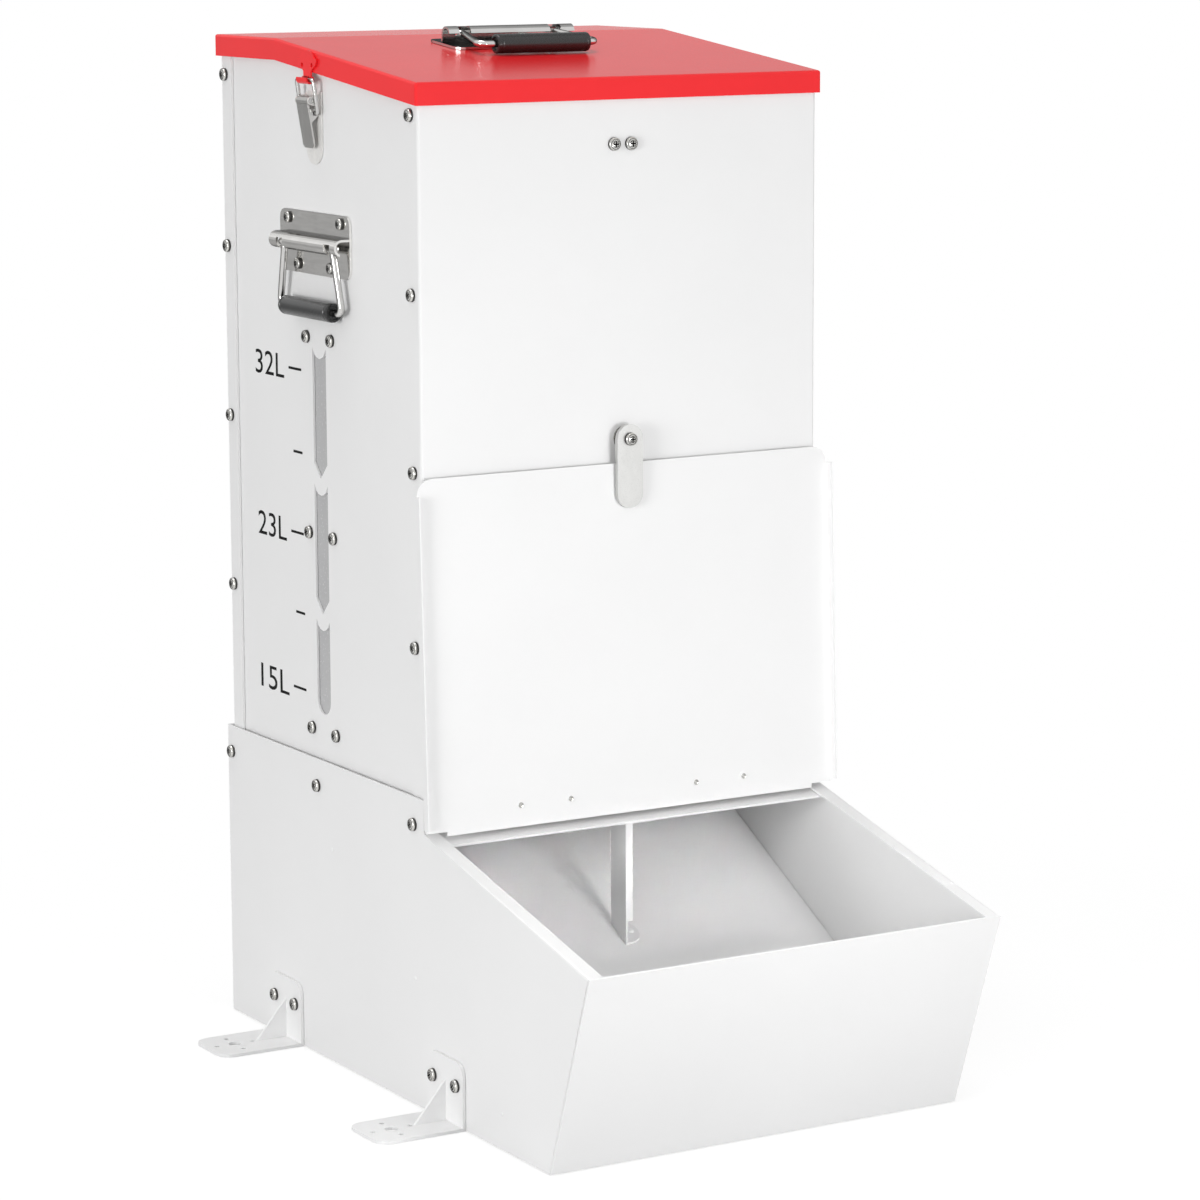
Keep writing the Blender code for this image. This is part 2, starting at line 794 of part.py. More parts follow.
def ramp_front():
    """Depth at which the ramp's top meets the inside of the trough's front."""
    start = trough_front(FLOOR_GAP, SHEET + 2 * GAP)
    return (start - (RAMP_HEIGHT - FLOOR_GAP) * TROUGH_LEAN) / (1 + RAMP_SLOPE * TROUGH_LEAN)


def make_ramp():
    """The sloping floor, wide between the base sides and narrow inside the hopper."""
    frame = plane((1, 0, 0), (0, cos(RAMP_ANGLE), sin(RAMP_ANGLE)), (0, 0, RAMP_HEIGHT))
    wide = BASE_HALF - SHEET - GAP
    narrow = SIDE_FACE - SHEET - GAP
    step = (HOPPER_FLOOR - RAMP_STEP_DROP - RAMP_HEIGHT) / RAMP_SLOPE
    rear = HOPPER_DEPTH - SHEET - GAP - SHEET * sin(RAMP_ANGLE)
    along = 1 / cos(RAMP_ANGLE)
    outline = [
        (-wide, ramp_front() * along),
        (wide, ramp_front() * along),
        (wide, step * along),
        (narrow, step * along),
        (narrow, rear * along),
        (-narrow, rear * along),
        (-narrow, step * along),
        (-wide, step * along),
    ]
    ramp = plate("feed_ramp", [outline], -SHEET, 0, frame, INSIDE_WHITE)
    flange_front = (RAMP_FLANGE + RAMP_FLANGE_LIFT - RAMP_HEIGHT) / RAMP_SLOPE
    flange_rear = step - RAMP_FLANGE_SETBACK
    flange = [
        (flange_front, ramp_top(flange_front) - SHEET),
        (flange_front, ramp_top(flange_front) - RAMP_FLANGE),
        (flange_rear, ramp_top(flange_rear) - RAMP_FLANGE),
        (flange_rear, ramp_top(flange_rear) - SHEET),
    ]
    for side in (LEFT, RIGHT):
        helper = f"ramp_flange_{SIDE_NAMES[side]}"
        side_frame = side_plane(side, wide - GAP)
        unite(ramp, plate(helper, [flipped(flange, side)], -SHEET, 0, side_frame, WHITE))


def make_divider():
    """The upright in the mouth: a web with a narrow front edge, a tab above and a foot below."""
    rear = DIVIDER_FRONT + DIVIDER_DEPTH
    lip_under = PANEL_LIP_HEIGHT - (SHEET + GAP) / cos(RIM_ANGLE)
    front_top = lip_under + DIVIDER_FRONT * RIM_SLOPE - SHEET / 2
    seat = GAP / cos(RAMP_ANGLE)
    web = [
        (DIVIDER_FRONT, ramp_top(DIVIDER_FRONT) + seat),
        (rear, ramp_top(rear) + seat),
        (rear, lip_under - SHEET - GAP),
        (DIVIDER_FRONT, front_top),
    ]
    divider = plate("trough_divider", [web], -SHEET / 2, SHEET / 2, side_plane(RIGHT), WHITE)

    low = (0, DIVIDER_FRONT, ramp_top(DIVIDER_FRONT) + DIVIDER_EDGE_FOOT)
    high = (DIVIDER_EDGE, DIVIDER_FRONT + SHEET, front_top)
    edge = block("divider_edge", low, high, Matrix.Identity(4))

    tab_frame = plane((1, 0, 0), (0, cos(RIM_ANGLE), sin(RIM_ANGLE)), (0, 0, lip_under))
    half_tab = DIVIDER_TAB_DEPTH / 2
    outline = rounded_box(DIVIDER_TAB_HALF, half_tab, DIVIDER_TAB_ROUND, 2, (0, -GAP - half_tab))
    tab = plate("divider_tab", [outline], -SHEET, 0, tab_frame, WHITE)

    foot_frame = plane((1, 0, 0), (0, cos(RAMP_ANGLE), sin(RAMP_ANGLE)), (0, 0, RAMP_HEIGHT))
    middle = (DIVIDER_FRONT + rear) / 2 / cos(RAMP_ANGLE)
    half = DIVIDER_DEPTH / 2 / cos(RAMP_ANGLE) - GAP
    outline = [(-SHEET / 2, middle - half)]
    outline += arc(DIVIDER_FOOT - half, middle, half, -90, 90, 8)
    outline += [(-SHEET / 2, middle + half)]
    hole = circle(DIVIDER_RIVET_OUT, middle, DIVIDER_RIVET_RADIUS + GAP, 10)
    foot = plate("divider_foot", [outline, hole], GAP, GAP + SHEET, foot_frame, WHITE)
    unite(divider, edge, tab, foot)
    make_divider_rivet(foot_frame @ Matrix.Translation((DIVIDER_RIVET_OUT, middle, SHEET + GAP)))


def make_divider_rivet(place):
    """A small rivet through the divider's foot and the ramp."""
    grip = -2 * SHEET - 2 * GAP
    profile = dome(DIVIDER_RIVET_HEAD, GAP, RIVET_HEAD_HEIGHT)
    profile += [
        (DIVIDER_RIVET_RADIUS, GAP),
        (DIVIDER_RIVET_RADIUS, grip),
        (DIVIDER_RIVET_HEAD, grip),
        (DIVIDER_RIVET_HEAD, grip - RIVET_HEAD_HEIGHT),
        (0, grip - RIVET_HEAD_HEIGHT),
    ]
    turned("divider_rivet", profile, place, ZINC)
    hole = drill("divider_rivet_hole", 0, 0, DIVIDER_RIVET_RADIUS + GAP, place, 2 * grip, SHEET)
    cut(PARTS.objects["feed_ramp"], hole)


def make_foot(side, depth, name):
    """An angle bracket with a gusset, whose sole lies on the ground."""
    leg_frame = side_plane(side, BASE_HALF + GAP, depth)
    half = FOOT_WIDTH / 2
    leg_outline = [(-half, 0), (half, 0)]
    leg_outline += arc(half - FOOT_ROUND, FOOT_HEIGHT - FOOT_ROUND, FOOT_ROUND, 0, 90, 4)
    leg_outline += arc(FOOT_ROUND - half, FOOT_HEIGHT - FOOT_ROUND, FOOT_ROUND, 90, 180, 4)
    foot = plate(name, [leg_outline], 0, FOOT_SHEET, leg_frame, WHITE)

    sole_frame = leg_frame @ plane((0, 0, 1), (1, 0, 0))
    sole_outline = [(FOOT_SHEET / 2, half), (FOOT_SHEET / 2, -half)]
    sole_outline += arc(FOOT_REACH - FOOT_TIP_ROUND, FOOT_TIP_ROUND - half, FOOT_TIP_ROUND, -90, 0, 4)
    sole_outline += arc(FOOT_REACH - FOOT_TIP_ROUND, half - FOOT_TIP_ROUND, FOOT_TIP_ROUND, 0, 90, 4)
    loops = [sole_outline, circle(FOOT_BOLT_OUT, 0, FOOT_BOLT_RADIUS, 12)]
    for u, v in ((1, 0), (-1, 0), (0, 1), (0, -1)):
        centre = (FOOT_BOLT_OUT + u * FOOT_SMALL_SPREAD, v * FOOT_SMALL_SPREAD)
        loops.append(circle(*centre, FOOT_SMALL_RADIUS, 8))
    sole = plate(f"{name}_sole", loops, 0, FOOT_SHEET, sole_frame, WHITE)

    gusset_frame = leg_frame @ plane((0, 0, 1), (0, 1, 0))
    start = FOOT_SHEET / 2
    gusset_outline = [
        (start, start),
        (FOOT_SHEET + FOOT_GUSSET_REACH, start),
        (FOOT_SHEET + FOOT_GUSSET_REACH, FOOT_SHEET),
        (FOOT_SHEET, FOOT_SHEET + FOOT_GUSSET_HEIGHT),
        (start, FOOT_SHEET + FOOT_GUSSET_HEIGHT),
    ]
    half_sheet = FOOT_SHEET / 2
    gusset = plate(f"{name}_gusset", [gusset_outline], -half_sheet, half_sheet, gusset_frame, WHITE)
    unite(foot, sole, gusset)


# Drop handles


def make_handle(name, frame, shifts, lift):
    """Plate and barrel on the frame's plane, and a bail that hangs along -v and turns out to +w.

    shifts gives the barrel's place along u, the bail's, and the grip's on the bail.
    """
    barrel_shift, shift, grip_shift = shifts
    face = GAP + HANDLE_SHEET
    outline = rounded_box(HANDLE_WIDTH / 2, HANDLE_HEIGHT / 2, HANDLE_ROUND)
    base = plate(f"{name}_handle_plate", [outline], GAP, face, frame, STEEL)

    inner = BARREL_RADIUS - HANDLE_SHEET
    root = face - GAP / 2
    profile = [(BARREL_RISE + BARREL_RADIUS, root)]
    curl = arc(0, 0, BARREL_RADIUS, 90, BARREL_LIP_ANGLE, 11)
    curl += arc(0, 0, inner, BARREL_LIP_ANGLE, 90, 11)
    profile += [(BARREL_RISE + v, BARREL_OUT + w) for w, v in curl]
    profile += [(BARREL_RISE + inner, root)]
    barrel_frame = frame @ plane((0, 1, 0), (0, 0, 1))
    half = BARREL_LENGTH / 2
    ends = (barrel_shift - half, barrel_shift + half)
    barrel = plate(f"{name}_barrel", [profile], *ends, barrel_frame, STEEL)
    axis_v = BARREL_RISE - BAIL_LOW
    axis_w = BARREL_OUT + BAIL_LOW
    flare = (BAIL_FOOT_HALF - BAIL_TOP_HALF) / BAIL_DROP
    half_slot = BAIL_RADIUS + 2 * GAP + flare * BARREL_RADIUS
    slots = []
    for number, sign in enumerate((-1, 1), 1):
        centre = shift + sign * BAIL_TOP_HALF
        low = (centre - half_slot, BARREL_RISE - 2 * BARREL_RADIUS, BARREL_OUT)
        high = (centre + half_slot, axis_v + BAIL_RADIUS + 2 * GAP, BARREL_OUT + 2 * BARREL_RADIUS)
        slots.append(block(f"{name}_slot_{number}", low, high, frame))
    unite(base, barrel)
    cut(base, *slots)

    turn = pivot(f"{name}_bail_pivot", frame @ Matrix.Translation((shift, axis_v, axis_w)))
    bail_frame = frame @ Matrix.Translation((shift, axis_v, axis_w))
    stub = BAIL_TOP_HALF + BAIL_STUB
    foot = (-BAIL_DROP, -BAIL_LEAN)
    points = [
        (-stub, 0, 0),
        (-BAIL_TOP_HALF, 0, 0),
        (-BAIL_FOOT_HALF, *foot),
        (BAIL_FOOT_HALF, *foot),
        (BAIL_TOP_HALF, 0, 0),
        (stub, 0, 0),
    ]
    path = rounded_path(points, BAIL_CORNER)
    bail = wire(f"{name}_handle_bail", path, BAIL_RADIUS, bail_frame, STEEL)
    half_grip = GRIP_LENGTH / 2
    bore = BAIL_RADIUS + PIVOT_PLAY
    profile = [
        (bore, half_grip),
        (GRIP_RADIUS - GRIP_ROUND, half_grip),
        (GRIP_RADIUS, half_grip - GRIP_ROUND),
        (GRIP_RADIUS, GRIP_ROUND - half_grip),
        (GRIP_RADIUS - GRIP_ROUND, -half_grip),
        (bore, -half_grip),
    ]
    grip_place = Matrix.Translation((grip_shift, *foot))
    grip_frame = bail_frame @ grip_place @ plane((0, 1, 0), (0, 0, 1))
    grip = turned(f"{name}_handle_grip", profile, grip_frame, RUBBER, 14)
    carry(turn, bail, grip)
    if lift is not None:
        carry(lift, base, turn)


# Draw latches


def make_latch(side, lift):
    name = SIDE_NAMES[side]
    frame = side_plane(side, SIDE_FACE, LATCH_DEPTH)
    base_top = GAP + LATCH_SHEET
    top = skirt_foot() - LATCH_BASE_DROP
    outline = [(LATCH_BASE_HALF, top), (-LATCH_BASE_HALF, top)]
    outline += arc(0, top - LATCH_BASE_LENGTH + LATCH_BASE_HALF, LATCH_BASE_HALF, 180, 360, 10)
    base = plate(f"{name}_latch_base", [outline], GAP, base_top, frame, SATIN)

    ear_plane = frame @ plane((0, 1, 0), (0, 0, 1))
    centre = (skirt_foot() - LATCH_PIVOT_DROP, LATCH_PIVOT_OUT)
    root = base_top - GAP / 2
    ear = [(centre[0] + LATCH_EAR_HALF, root), (centre[0] - LATCH_EAR_HALF, root)]
    ear += arc(*centre, LATCH_EAR_ROUND, 180, 0, 8)
    hole = circle(*centre, LATCH_PIN_RADIUS + GAP, 10)
    ear_in = LEVER_HALF + 2 * GAP
    for sign in (-1, 1):
        ends = sorted((sign * ear_in, sign * (ear_in + LATCH_EAR)))
        label = f"{name}_latch_ear_{(sign + 3) // 2}"
        unite(base, plate(label, [ear[::-1], hole], *ends, ear_plane, SATIN))

    pin_frame = frame @ Matrix.Translation((0, *centre)) @ plane((0, 1, 0), (0, 0, 1))
    half_pin = ear_in + LATCH_EAR + GAP
    head = LATCH_PIN_RADIUS + LATCH_PIN_RIM
    profile = [
        (0, half_pin + LATCH_PIN_HEAD),
        (head, half_pin + LATCH_PIN_HEAD),
        (head, half_pin),
        (LATCH_PIN_RADIUS, half_pin),
        (LATCH_PIN_RADIUS, -half_pin - LATCH_PIN_HEAD),
        (0, -half_pin - LATCH_PIN_HEAD),
    ]
    turned(f"{name}_latch_pin", profile, pin_frame, STEEL)

    turn = pivot(f"{name}_lever_pivot", frame @ Matrix.Translation((0, *centre)))
    lever_frame = frame @ Matrix.Translation((0, *centre)) @ Matrix.Rotation(LEVER_LEAN, 4, "X")
    lever_side = lever_frame @ plane((0, 1, 0), (0, 0, 1))
    bore = LATCH_PIN_RADIUS + GAP
    curl = plate(
        f"{name}_latch_lever",
        [circle(0, 0, LEVER_CURL, 14), circle(0, 0, bore, 14)],
        -LEVER_HALF,
        LEVER_HALF,
        lever_side,
        SATIN,
    )
    blade_low = LEVER_CURL - LATCH_SHEET
    blade_outline = [
        (LEVER_HALF, -bore),
        (-LEVER_HALF, -bore),
        (-LEVER_HALF, LEVER_TIP_CORNER - LEVER_LENGTH),
        (LEVER_TIP_CORNER - LEVER_HALF, -LEVER_LENGTH),
        (LEVER_HALF - LEVER_TIP_CORNER, -LEVER_LENGTH),
        (LEVER_HALF, LEVER_TIP_CORNER - LEVER_LENGTH),
    ]
    blade_high = LEVER_CURL - SEAM
    blade = plate(f"{name}_blade", [blade_outline], blade_low, blade_high, lever_frame, SATIN)
    loop_v = LOOP_PIVOT_OUT * sin(LEVER_LEAN) - LOOP_PIVOT_DROP * cos(LEVER_LEAN)
    loop_w = LOOP_PIVOT_OUT * cos(LEVER_LEAN) + LOOP_PIVOT_DROP * sin(LEVER_LEAN)
    cheek = [
        (loop_v + LEVER_CHEEK_ABOVE, blade_low + LATCH_SHEET / 2),
        (loop_v + LEVER_CHEEK_ABOVE, loop_w),
        (loop_v, -LEVER_CHEEK_DEPTH),
        (loop_v - LEVER_CHEEK_BELOW, -LEVER_CHEEK_DEPTH),
        (-LEVER_CHEEK_END, blade_low + LATCH_SHEET / 2),
    ]
    cheek_hole = circle(loop_v, loop_w, LOOP_WIRE + GAP, 10)
    cheeks = []
    for sign in (-1, 1):
        ends = sorted((sign * (LEVER_HALF - LATCH_EAR), sign * (LEVER_HALF - SEAM)))
        label = f"{name}_cheek_{(sign + 3) // 2}"
        cheeks.append(plate(label, [cheek], *ends, lever_side, SATIN))
    unite(curl, blade, *cheeks)
    reach = LEVER_HALF + GAP
    holes = plate(f"{name}_cheek_hole", [cheek_hole], -reach, reach, lever_side, SATIN)
    cut(curl, holes)

    hook_out = HOPPER_WIDTH / 2 + LID_SIDE_OVERHANG - SIDE_FACE + GAP + LATCH_SHEET
    wire_out = hook_out + HOOK_PLAY + LOOP_WIRE
    hook_height = skirt_foot() - HOOK_DROP
    loop_pivot = (centre[0] - LOOP_PIVOT_DROP, LATCH_PIVOT_OUT + LOOP_PIVOT_OUT)
    loop_turn = pivot(f"{name}_loop_pivot", frame @ Matrix.Translation((0, *loop_pivot)))
    inner = LEVER_HALF - LATCH_EAR - LOOP_END_PLAY
    points = [
        (-inner, *loop_pivot),
        (-LOOP_HALF, *loop_pivot),
        (-LOOP_HALF, hook_height, wire_out),
        (LOOP_HALF, hook_height, wire_out),
        (LOOP_HALF, *loop_pivot),
        (inner, *loop_pivot),
    ]
    path = rounded_path(points, LOOP_CORNER)
    loop = wire(f"{name}_latch_loop", path, LOOP_WIRE, frame, STEEL)
    carry(loop_turn, loop)
    carry(turn, curl, loop_turn)
    make_keeper(name, frame, hook_out, wire_out, lift)


def make_keeper(name, frame, out, wire_out, lift):
    """The plate on the lid's skirt, with a neck and a shallow hook for the loop."""
    hook_height = skirt_foot() - HOOK_DROP
    neck = skirt_foot() + KEEPER_NECK_RISE
    shoulder = neck + KEEPER_SHOULDER
    round_centre = lid_top(LATCH_DEPTH) - KEEPER_TOP_DROP - KEEPER_HALF
    corner = round_centre + KEEPER_HALF * sin(radians(KEEPER_ARC_START))
    half = [
        (KEEPER_NECK_HALF, hook_height),
        (KEEPER_NECK_HALF, neck),
        (KEEPER_HALF, shoulder),
        (KEEPER_HALF, corner),
    ]
    outline = half + arc(0, round_centre, KEEPER_HALF, KEEPER_ARC_START, 180 - KEEPER_ARC_START, 6)
    outline += [(-u, v) for u, v in reversed(half)]
    loops = [outline]
    for sign in (-1, 1):
        place = (sign * KEEPER_HOLE_SPREAD, skirt_foot() + KEEPER_HOLE_RISE)
        loops.append(circle(*place, KEEPER_HOLE, 8))
    keeper = plate(f"{name}_keeper", loops, out - LATCH_SHEET, out, frame, RED)
    inner = LOOP_WIRE + HOOK_PLAY
    outer = inner + LATCH_SHEET
    curl = [(-outer, HOOK_ROOT)]
    curl += arc(0, 0, outer, 180, HOOK_LIP_ANGLE, 8)
    curl += arc(0, 0, inner, HOOK_LIP_ANGLE, 180, 8)
    curl += [(-inner, HOOK_ROOT)]
    hook = [(hook_height + v, wire_out + w) for w, v in curl]
    hook_plane = frame @ plane((0, 1, 0), (0, 0, 1))
    unite(keeper, plate(f"{name}_hook", [hook], -HOOK_HALF, HOOK_HALF, hook_plane, RED))
    carry(lift, keeper)


# Lid


def make_lid():
    """One sheet: a flat rear part, a sloping front part, and a skirt that follows both."""
    half = HOPPER_WIDTH / 2 + LID_SIDE_OVERHANG
    rear = HOPPER_DEPTH + LID_REAR_OVERHANG
    depths = (-LID_FRONT_OVERHANG, LID_RIDGE, rear)
    shape = bmesh.new()
    rows = [[shape.verts.new((x, y, lid_top(y))) for x in (-half, half)] for y in depths]
    for near, far in zip(rows, rows[1:]):
        shape.faces.new((near[0], near[1], far[1], far[0]))
    border = [edge for edge in shape.edges if edge.is_boundary]
    made = bmesh.ops.extrude_edge_only(shape, edges=border)
    hem = [item for item in made["geom"] if isinstance(item, bmesh.types.BMVert)]
    bmesh.ops.translate(shape, verts=hem, vec=(0, 0, -LID_SKIRT))
    bmesh.ops.recalc_face_normals(shape, faces=shape.faces)
    mesh = bpy.data.meshes.new("lid")
    shape.to_mesh(mesh)
    shape.free()
    lid = add_object("lid", mesh, Matrix.Identity(4), RED)
    bend_and_thicken(lid, LID_SHEET, LID_SHEET + BEND - SHEET)
    lift = pivot("lid_lift", Matrix.Translation((0, HOPPER_DEPTH / 2, LID_REAR_TOP)))
    carry(lift, lid)
    return lift


def lid_handle_frame():
    across = (0, cos(LID_ANGLE), sin(LID_ANGLE))
    return plane((1, 0, 0), across, (LID_HANDLE_SIDE, LID_HANDLE_DEPTH, lid_top(LID_HANDLE_DEPTH)))


# Trough cover, hinges and turn button


def make_cover():
    axis = Matrix.Translation(hinge_axis())
    turn = pivot("cover_hinge", axis)
    tilt = axis @ Matrix.Rotation(-COVER_LEAN, 4, "X")
    outer = BASE_HALF + COVER_SIDE_PLAY + COVER_SHEET
    relief = COVER_SHEET + BEND - SHEET
    side = outer - relief - GAP
    corner = BASE_HALF - RIM_LIP - COVER_CORNER_INSET
    half_outline = [
        (corner, -COVER_BOTTOM),
        (corner, -COVER_CORNER_BOTTOM),
        (side, -COVER_CORNER_BOTTOM),
        (side, COVER_FLANGE_FOOT),
        (outer, COVER_FLANGE_FOOT),
        (outer, COVER_FLANGE_TOP),
        (side, COVER_FLANGE_TOP),
    ]
    round_wide = side - (outer - COVER_CORNER_WIDE)
    for u, v in arc(0, 0, 1, 0, 90, 4)[1:]:
        half_outline.append((side - round_wide * (1 - u), COVER_FLANGE_TOP + COVER_CORNER_RISE * v))
    count = len(half_outline)
    # Seen from behind the cover, so that the outer face is the one that the flanges bend away from
    outline = half_outline + [(-u, v) for u, v in reversed(half_outline)]
    back = tilt @ plane((-1, 0, 0), (0, 0, 1), (0, COVER_SHEET - COVER_FACE, 0))
    flange = Vector((0, 0, -COVER_FLANGE))
    folds = {4: flange, 2 * count - 6: flange}
    cover = folded("trough_cover", outline, folds, COVER_SHEET, back, WHITE)
    front = tilt @ plane((1, 0, 0), (0, 0, 1), (0, -COVER_FACE, 0))
    pieces = [cover]
    number = 0
    for side_sign in (LEFT, RIGHT):
        leaf, spots = make_hinge(side_sign, tilt)
        pieces.append(leaf)
        for spot in spots:
            number += 1
            place = front @ Matrix.Translation((spot, RIVET_RISE, 0))
            pieces.append(make_rivet(f"cover_rivet_{number}", place))
            hole = (f"cover_hole_{number}", spot, RIVET_RISE, RIVET_RADIUS + GAP, front)
            cut(cover, drill(*hole, -2 * COVER_SHEET, COVER_SHEET, 8))
    carry(turn, *pieces)


def make_rivet(name, matrix):
    """A rivet through the cover and the moving leaf."""
    foot = -COVER_SHEET - HINGE_LEAF - 2 * GAP
    profile = dome(RIVET_HEAD, GAP, RIVET_HEAD_HEIGHT)
    profile += [
        (RIVET_RADIUS, GAP),
        (RIVET_RADIUS, foot),
        (RIVET_FOOT, foot),
        (RIVET_FOOT, foot - RIVET_HEAD_HEIGHT),
        (0, foot - RIVET_HEAD_HEIGHT),
    ]
    return turned(name, profile, matrix, ZINC, 10)


def leaf_outline(half, foot):
    return [(-half, foot), (half, foot), (half, HINGE_LEAF_HEIGHT), (-half, HINGE_LEAF_HEIGHT)]


def make_hinge(side, tilt):
    """Two leaves on one pin: the fixed leaf on the hopper's front, the moving one on the cover."""
    name = SIDE_NAMES[side]
    centre = side * HINGE_SPREAD
    axis = Matrix.Translation(hinge_axis() + Vector((centre, 0, 0)))
    leaning = tilt @ Matrix.Translation((centre, 0, 0))
    half = HINGE_LENGTH / 2
    pitch = HINGE_LENGTH / HINGE_KNUCKLES
    bore = HINGE_PIN_RADIUS + PIVOT_PLAY
    ring = [circle(0, 0, KNUCKLE_RADIUS, 14), circle(0, 0, bore, 14)]
    across = plane((0, 1, 0), (0, 0, 1))
    spots = [centre - RIVET_SPREAD, centre + RIVET_SPREAD]

    leaf_back = COVER_SHEET - COVER_FACE + GAP + HINGE_LEAF
    leaf_frame = leaning @ plane((1, 0, 0), (0, 0, 1))
    leaf_foot = KNUCKLE_RADIUS + GAP
    loops = [leaf_outline(half, leaf_foot)]
    for sign in (-1, 1):
        loops.append(circle(sign * RIVET_SPREAD, RIVET_RISE, RIVET_RADIUS + GAP, 8))
    levels = (-leaf_back, HINGE_LEAF - leaf_back)
    moving = plate(f"{name}_hinge_moving_leaf", loops, *levels, leaf_frame, SATIN)

    low = GAP - HINGE_OUT
    fixed_frame = axis @ plane((1, 0, 0), (0, 0, 1))
    loops = [leaf_outline(half, -HINGE_WEB / 2)]
    levels = (low, low + HINGE_LEAF)
    fixed = plate(f"{name}_hinge_fixed_leaf", loops, *levels, fixed_frame, SATIN)

    for knuckle in range(HINGE_KNUCKLES):
        start = -half + knuckle * pitch + KNUCKLE_GAP / 2
        end = start + pitch - KNUCKLE_GAP
        label = f"{name}_knuckle_{knuckle + 1}"
        if knuckle % 2:
            tube = plate(label, ring, start, end, leaning @ across, SATIN)
            corners = (start, leaf_back - HINGE_LEAF, 0), (end, leaf_back, leaf_foot + GAP)
            unite(moving, tube, block(f"{label}_web", *corners, leaning))
        else:
            tube = plate(label, ring, start, end, axis @ across, SATIN)
            inner = (start, bore, -HINGE_WEB / 2)
            outer = (end, -low - HINGE_LEAF / 2, HINGE_WEB / 2)
            unite(fixed, tube, block(f"{label}_web", inner, outer, axis))

    pin = [(0, half), (HINGE_PIN_RADIUS, half), (HINGE_PIN_RADIUS, -half), (0, -half)]
    turned(f"{name}_hinge_pin", pin, axis @ across, STEEL, 12)
    return moving, spots


def button_height():
    return cover_top() + BUTTON_RISE


def button_stand_off():
    """Distance from the hopper's front to the bar's back, set by the cover behind the bar's tip."""
    tip_rise = button_height() - BUTTON_LENGTH - BUTTON_HALF - hinge_axis().z
    cover_out = HINGE_OUT + COVER_FACE * cos(COVER_LEAN) - tip_rise * sin(COVER_LEAN)
    return cover_out + BUTTON_PLAY


def make_button():
    """A bar that turns on its screw and lies over the cover's top edge."""
    place = FRONT_PLANE @ Matrix.Translation((0, button_height(), 0))
    turn = pivot("button_pivot", place)
    outline = arc(0, 0, BUTTON_HALF, 0, 180, 10)
    outline += arc(0, -BUTTON_LENGTH, BUTTON_HALF, 180, 360, 10)
    bore = SCREW_RADIUS + GAP
    low = button_stand_off()
    high = low + BUTTON_SHEET
    button = plate("turn_button", [outline, circle(0, 0, bore)], low, high, place, SATIN)
    carry(turn, button)
    rim = GAP + BUTTON_WASHER_SHEET
    spacer = [
        (bore, low - GAP),
        (BUTTON_SPACER, low - GAP),
        (BUTTON_SPACER, rim),
        (BUTTON_WASHER, rim),
        (BUTTON_WASHER, GAP),
        (bore, GAP),
    ]
    turned("button_spacer", spacer, place, ZINC, 14)
    screw("button_screw", place @ Matrix.Translation((0, 0, high)), high + SHEET)


def build():
    lift = make_lid()
    for side in (LEFT, RIGHT):
        make_hopper_side(side)
        make_base_side(side)
        for place, depth in (("front", FOOT_FRONT), ("rear", FOOT_REAR)):
            make_foot(side, depth, f"{place}_{SIDE_NAMES[side]}_foot")
        frame = side_plane(side, SIDE_FACE, SIDE_HANDLE_DEPTH, side_handle_height())
        forward = (SIDE_BARREL_SHIFT, SIDE_BAIL_SHIFT, SIDE_GRIP_SHIFT)
        make_handle(SIDE_NAMES[side], frame, [-side * shift for shift in forward], None)
        make_latch(side, lift)
    sideways = (LID_BARREL_SHIFT, LID_BAIL_SHIFT, LID_GRIP_SHIFT)
    make_handle("lid", lid_handle_frame(), sideways, lift)
    make_front_panel()
    make_front_screws()
    make_rear_panel()
    make_window()
    make_base_rear()
    make_trough_front()
    make_ramp()
    make_divider()
    make_cover()
    make_button()


build()
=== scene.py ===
"""Looks of the gravity feeder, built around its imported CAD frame. Lengths are in metres."""

import json
from math import cos, pi, radians, sin, tan

import bmesh
import bpy
from mathutils import Matrix, Vector

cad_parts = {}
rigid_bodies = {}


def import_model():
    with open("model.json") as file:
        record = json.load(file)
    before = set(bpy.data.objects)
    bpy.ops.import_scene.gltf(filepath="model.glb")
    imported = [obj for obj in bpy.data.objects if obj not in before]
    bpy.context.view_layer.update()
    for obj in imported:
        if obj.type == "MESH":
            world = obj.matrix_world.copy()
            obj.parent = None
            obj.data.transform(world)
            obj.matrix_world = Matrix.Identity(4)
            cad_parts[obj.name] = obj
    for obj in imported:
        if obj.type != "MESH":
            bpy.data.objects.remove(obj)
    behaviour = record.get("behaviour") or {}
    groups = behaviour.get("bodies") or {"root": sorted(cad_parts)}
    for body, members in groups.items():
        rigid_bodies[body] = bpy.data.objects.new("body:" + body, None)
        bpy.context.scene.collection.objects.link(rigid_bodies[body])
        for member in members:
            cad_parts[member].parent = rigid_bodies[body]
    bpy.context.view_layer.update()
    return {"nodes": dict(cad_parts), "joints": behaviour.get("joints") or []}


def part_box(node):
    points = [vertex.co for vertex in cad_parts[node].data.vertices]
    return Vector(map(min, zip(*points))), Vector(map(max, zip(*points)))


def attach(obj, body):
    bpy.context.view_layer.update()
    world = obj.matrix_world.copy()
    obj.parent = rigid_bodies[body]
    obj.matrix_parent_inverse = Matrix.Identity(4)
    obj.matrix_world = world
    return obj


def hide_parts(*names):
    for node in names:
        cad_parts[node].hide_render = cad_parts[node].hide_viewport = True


for leftover in list(bpy.data.objects):
    bpy.data.objects.remove(leftover, do_unlink=True)

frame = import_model()

# A point on each hinge's axis, by the joint's name.
PIVOTS = {joint["name"]: joint["pos_m"] for joint in frame["joints"] if "pos_m" in joint}

LEFT, RIGHT = -1, 1
SIDES = {LEFT: "left", RIGHT: "right"}
UP = (0, 0, 1)


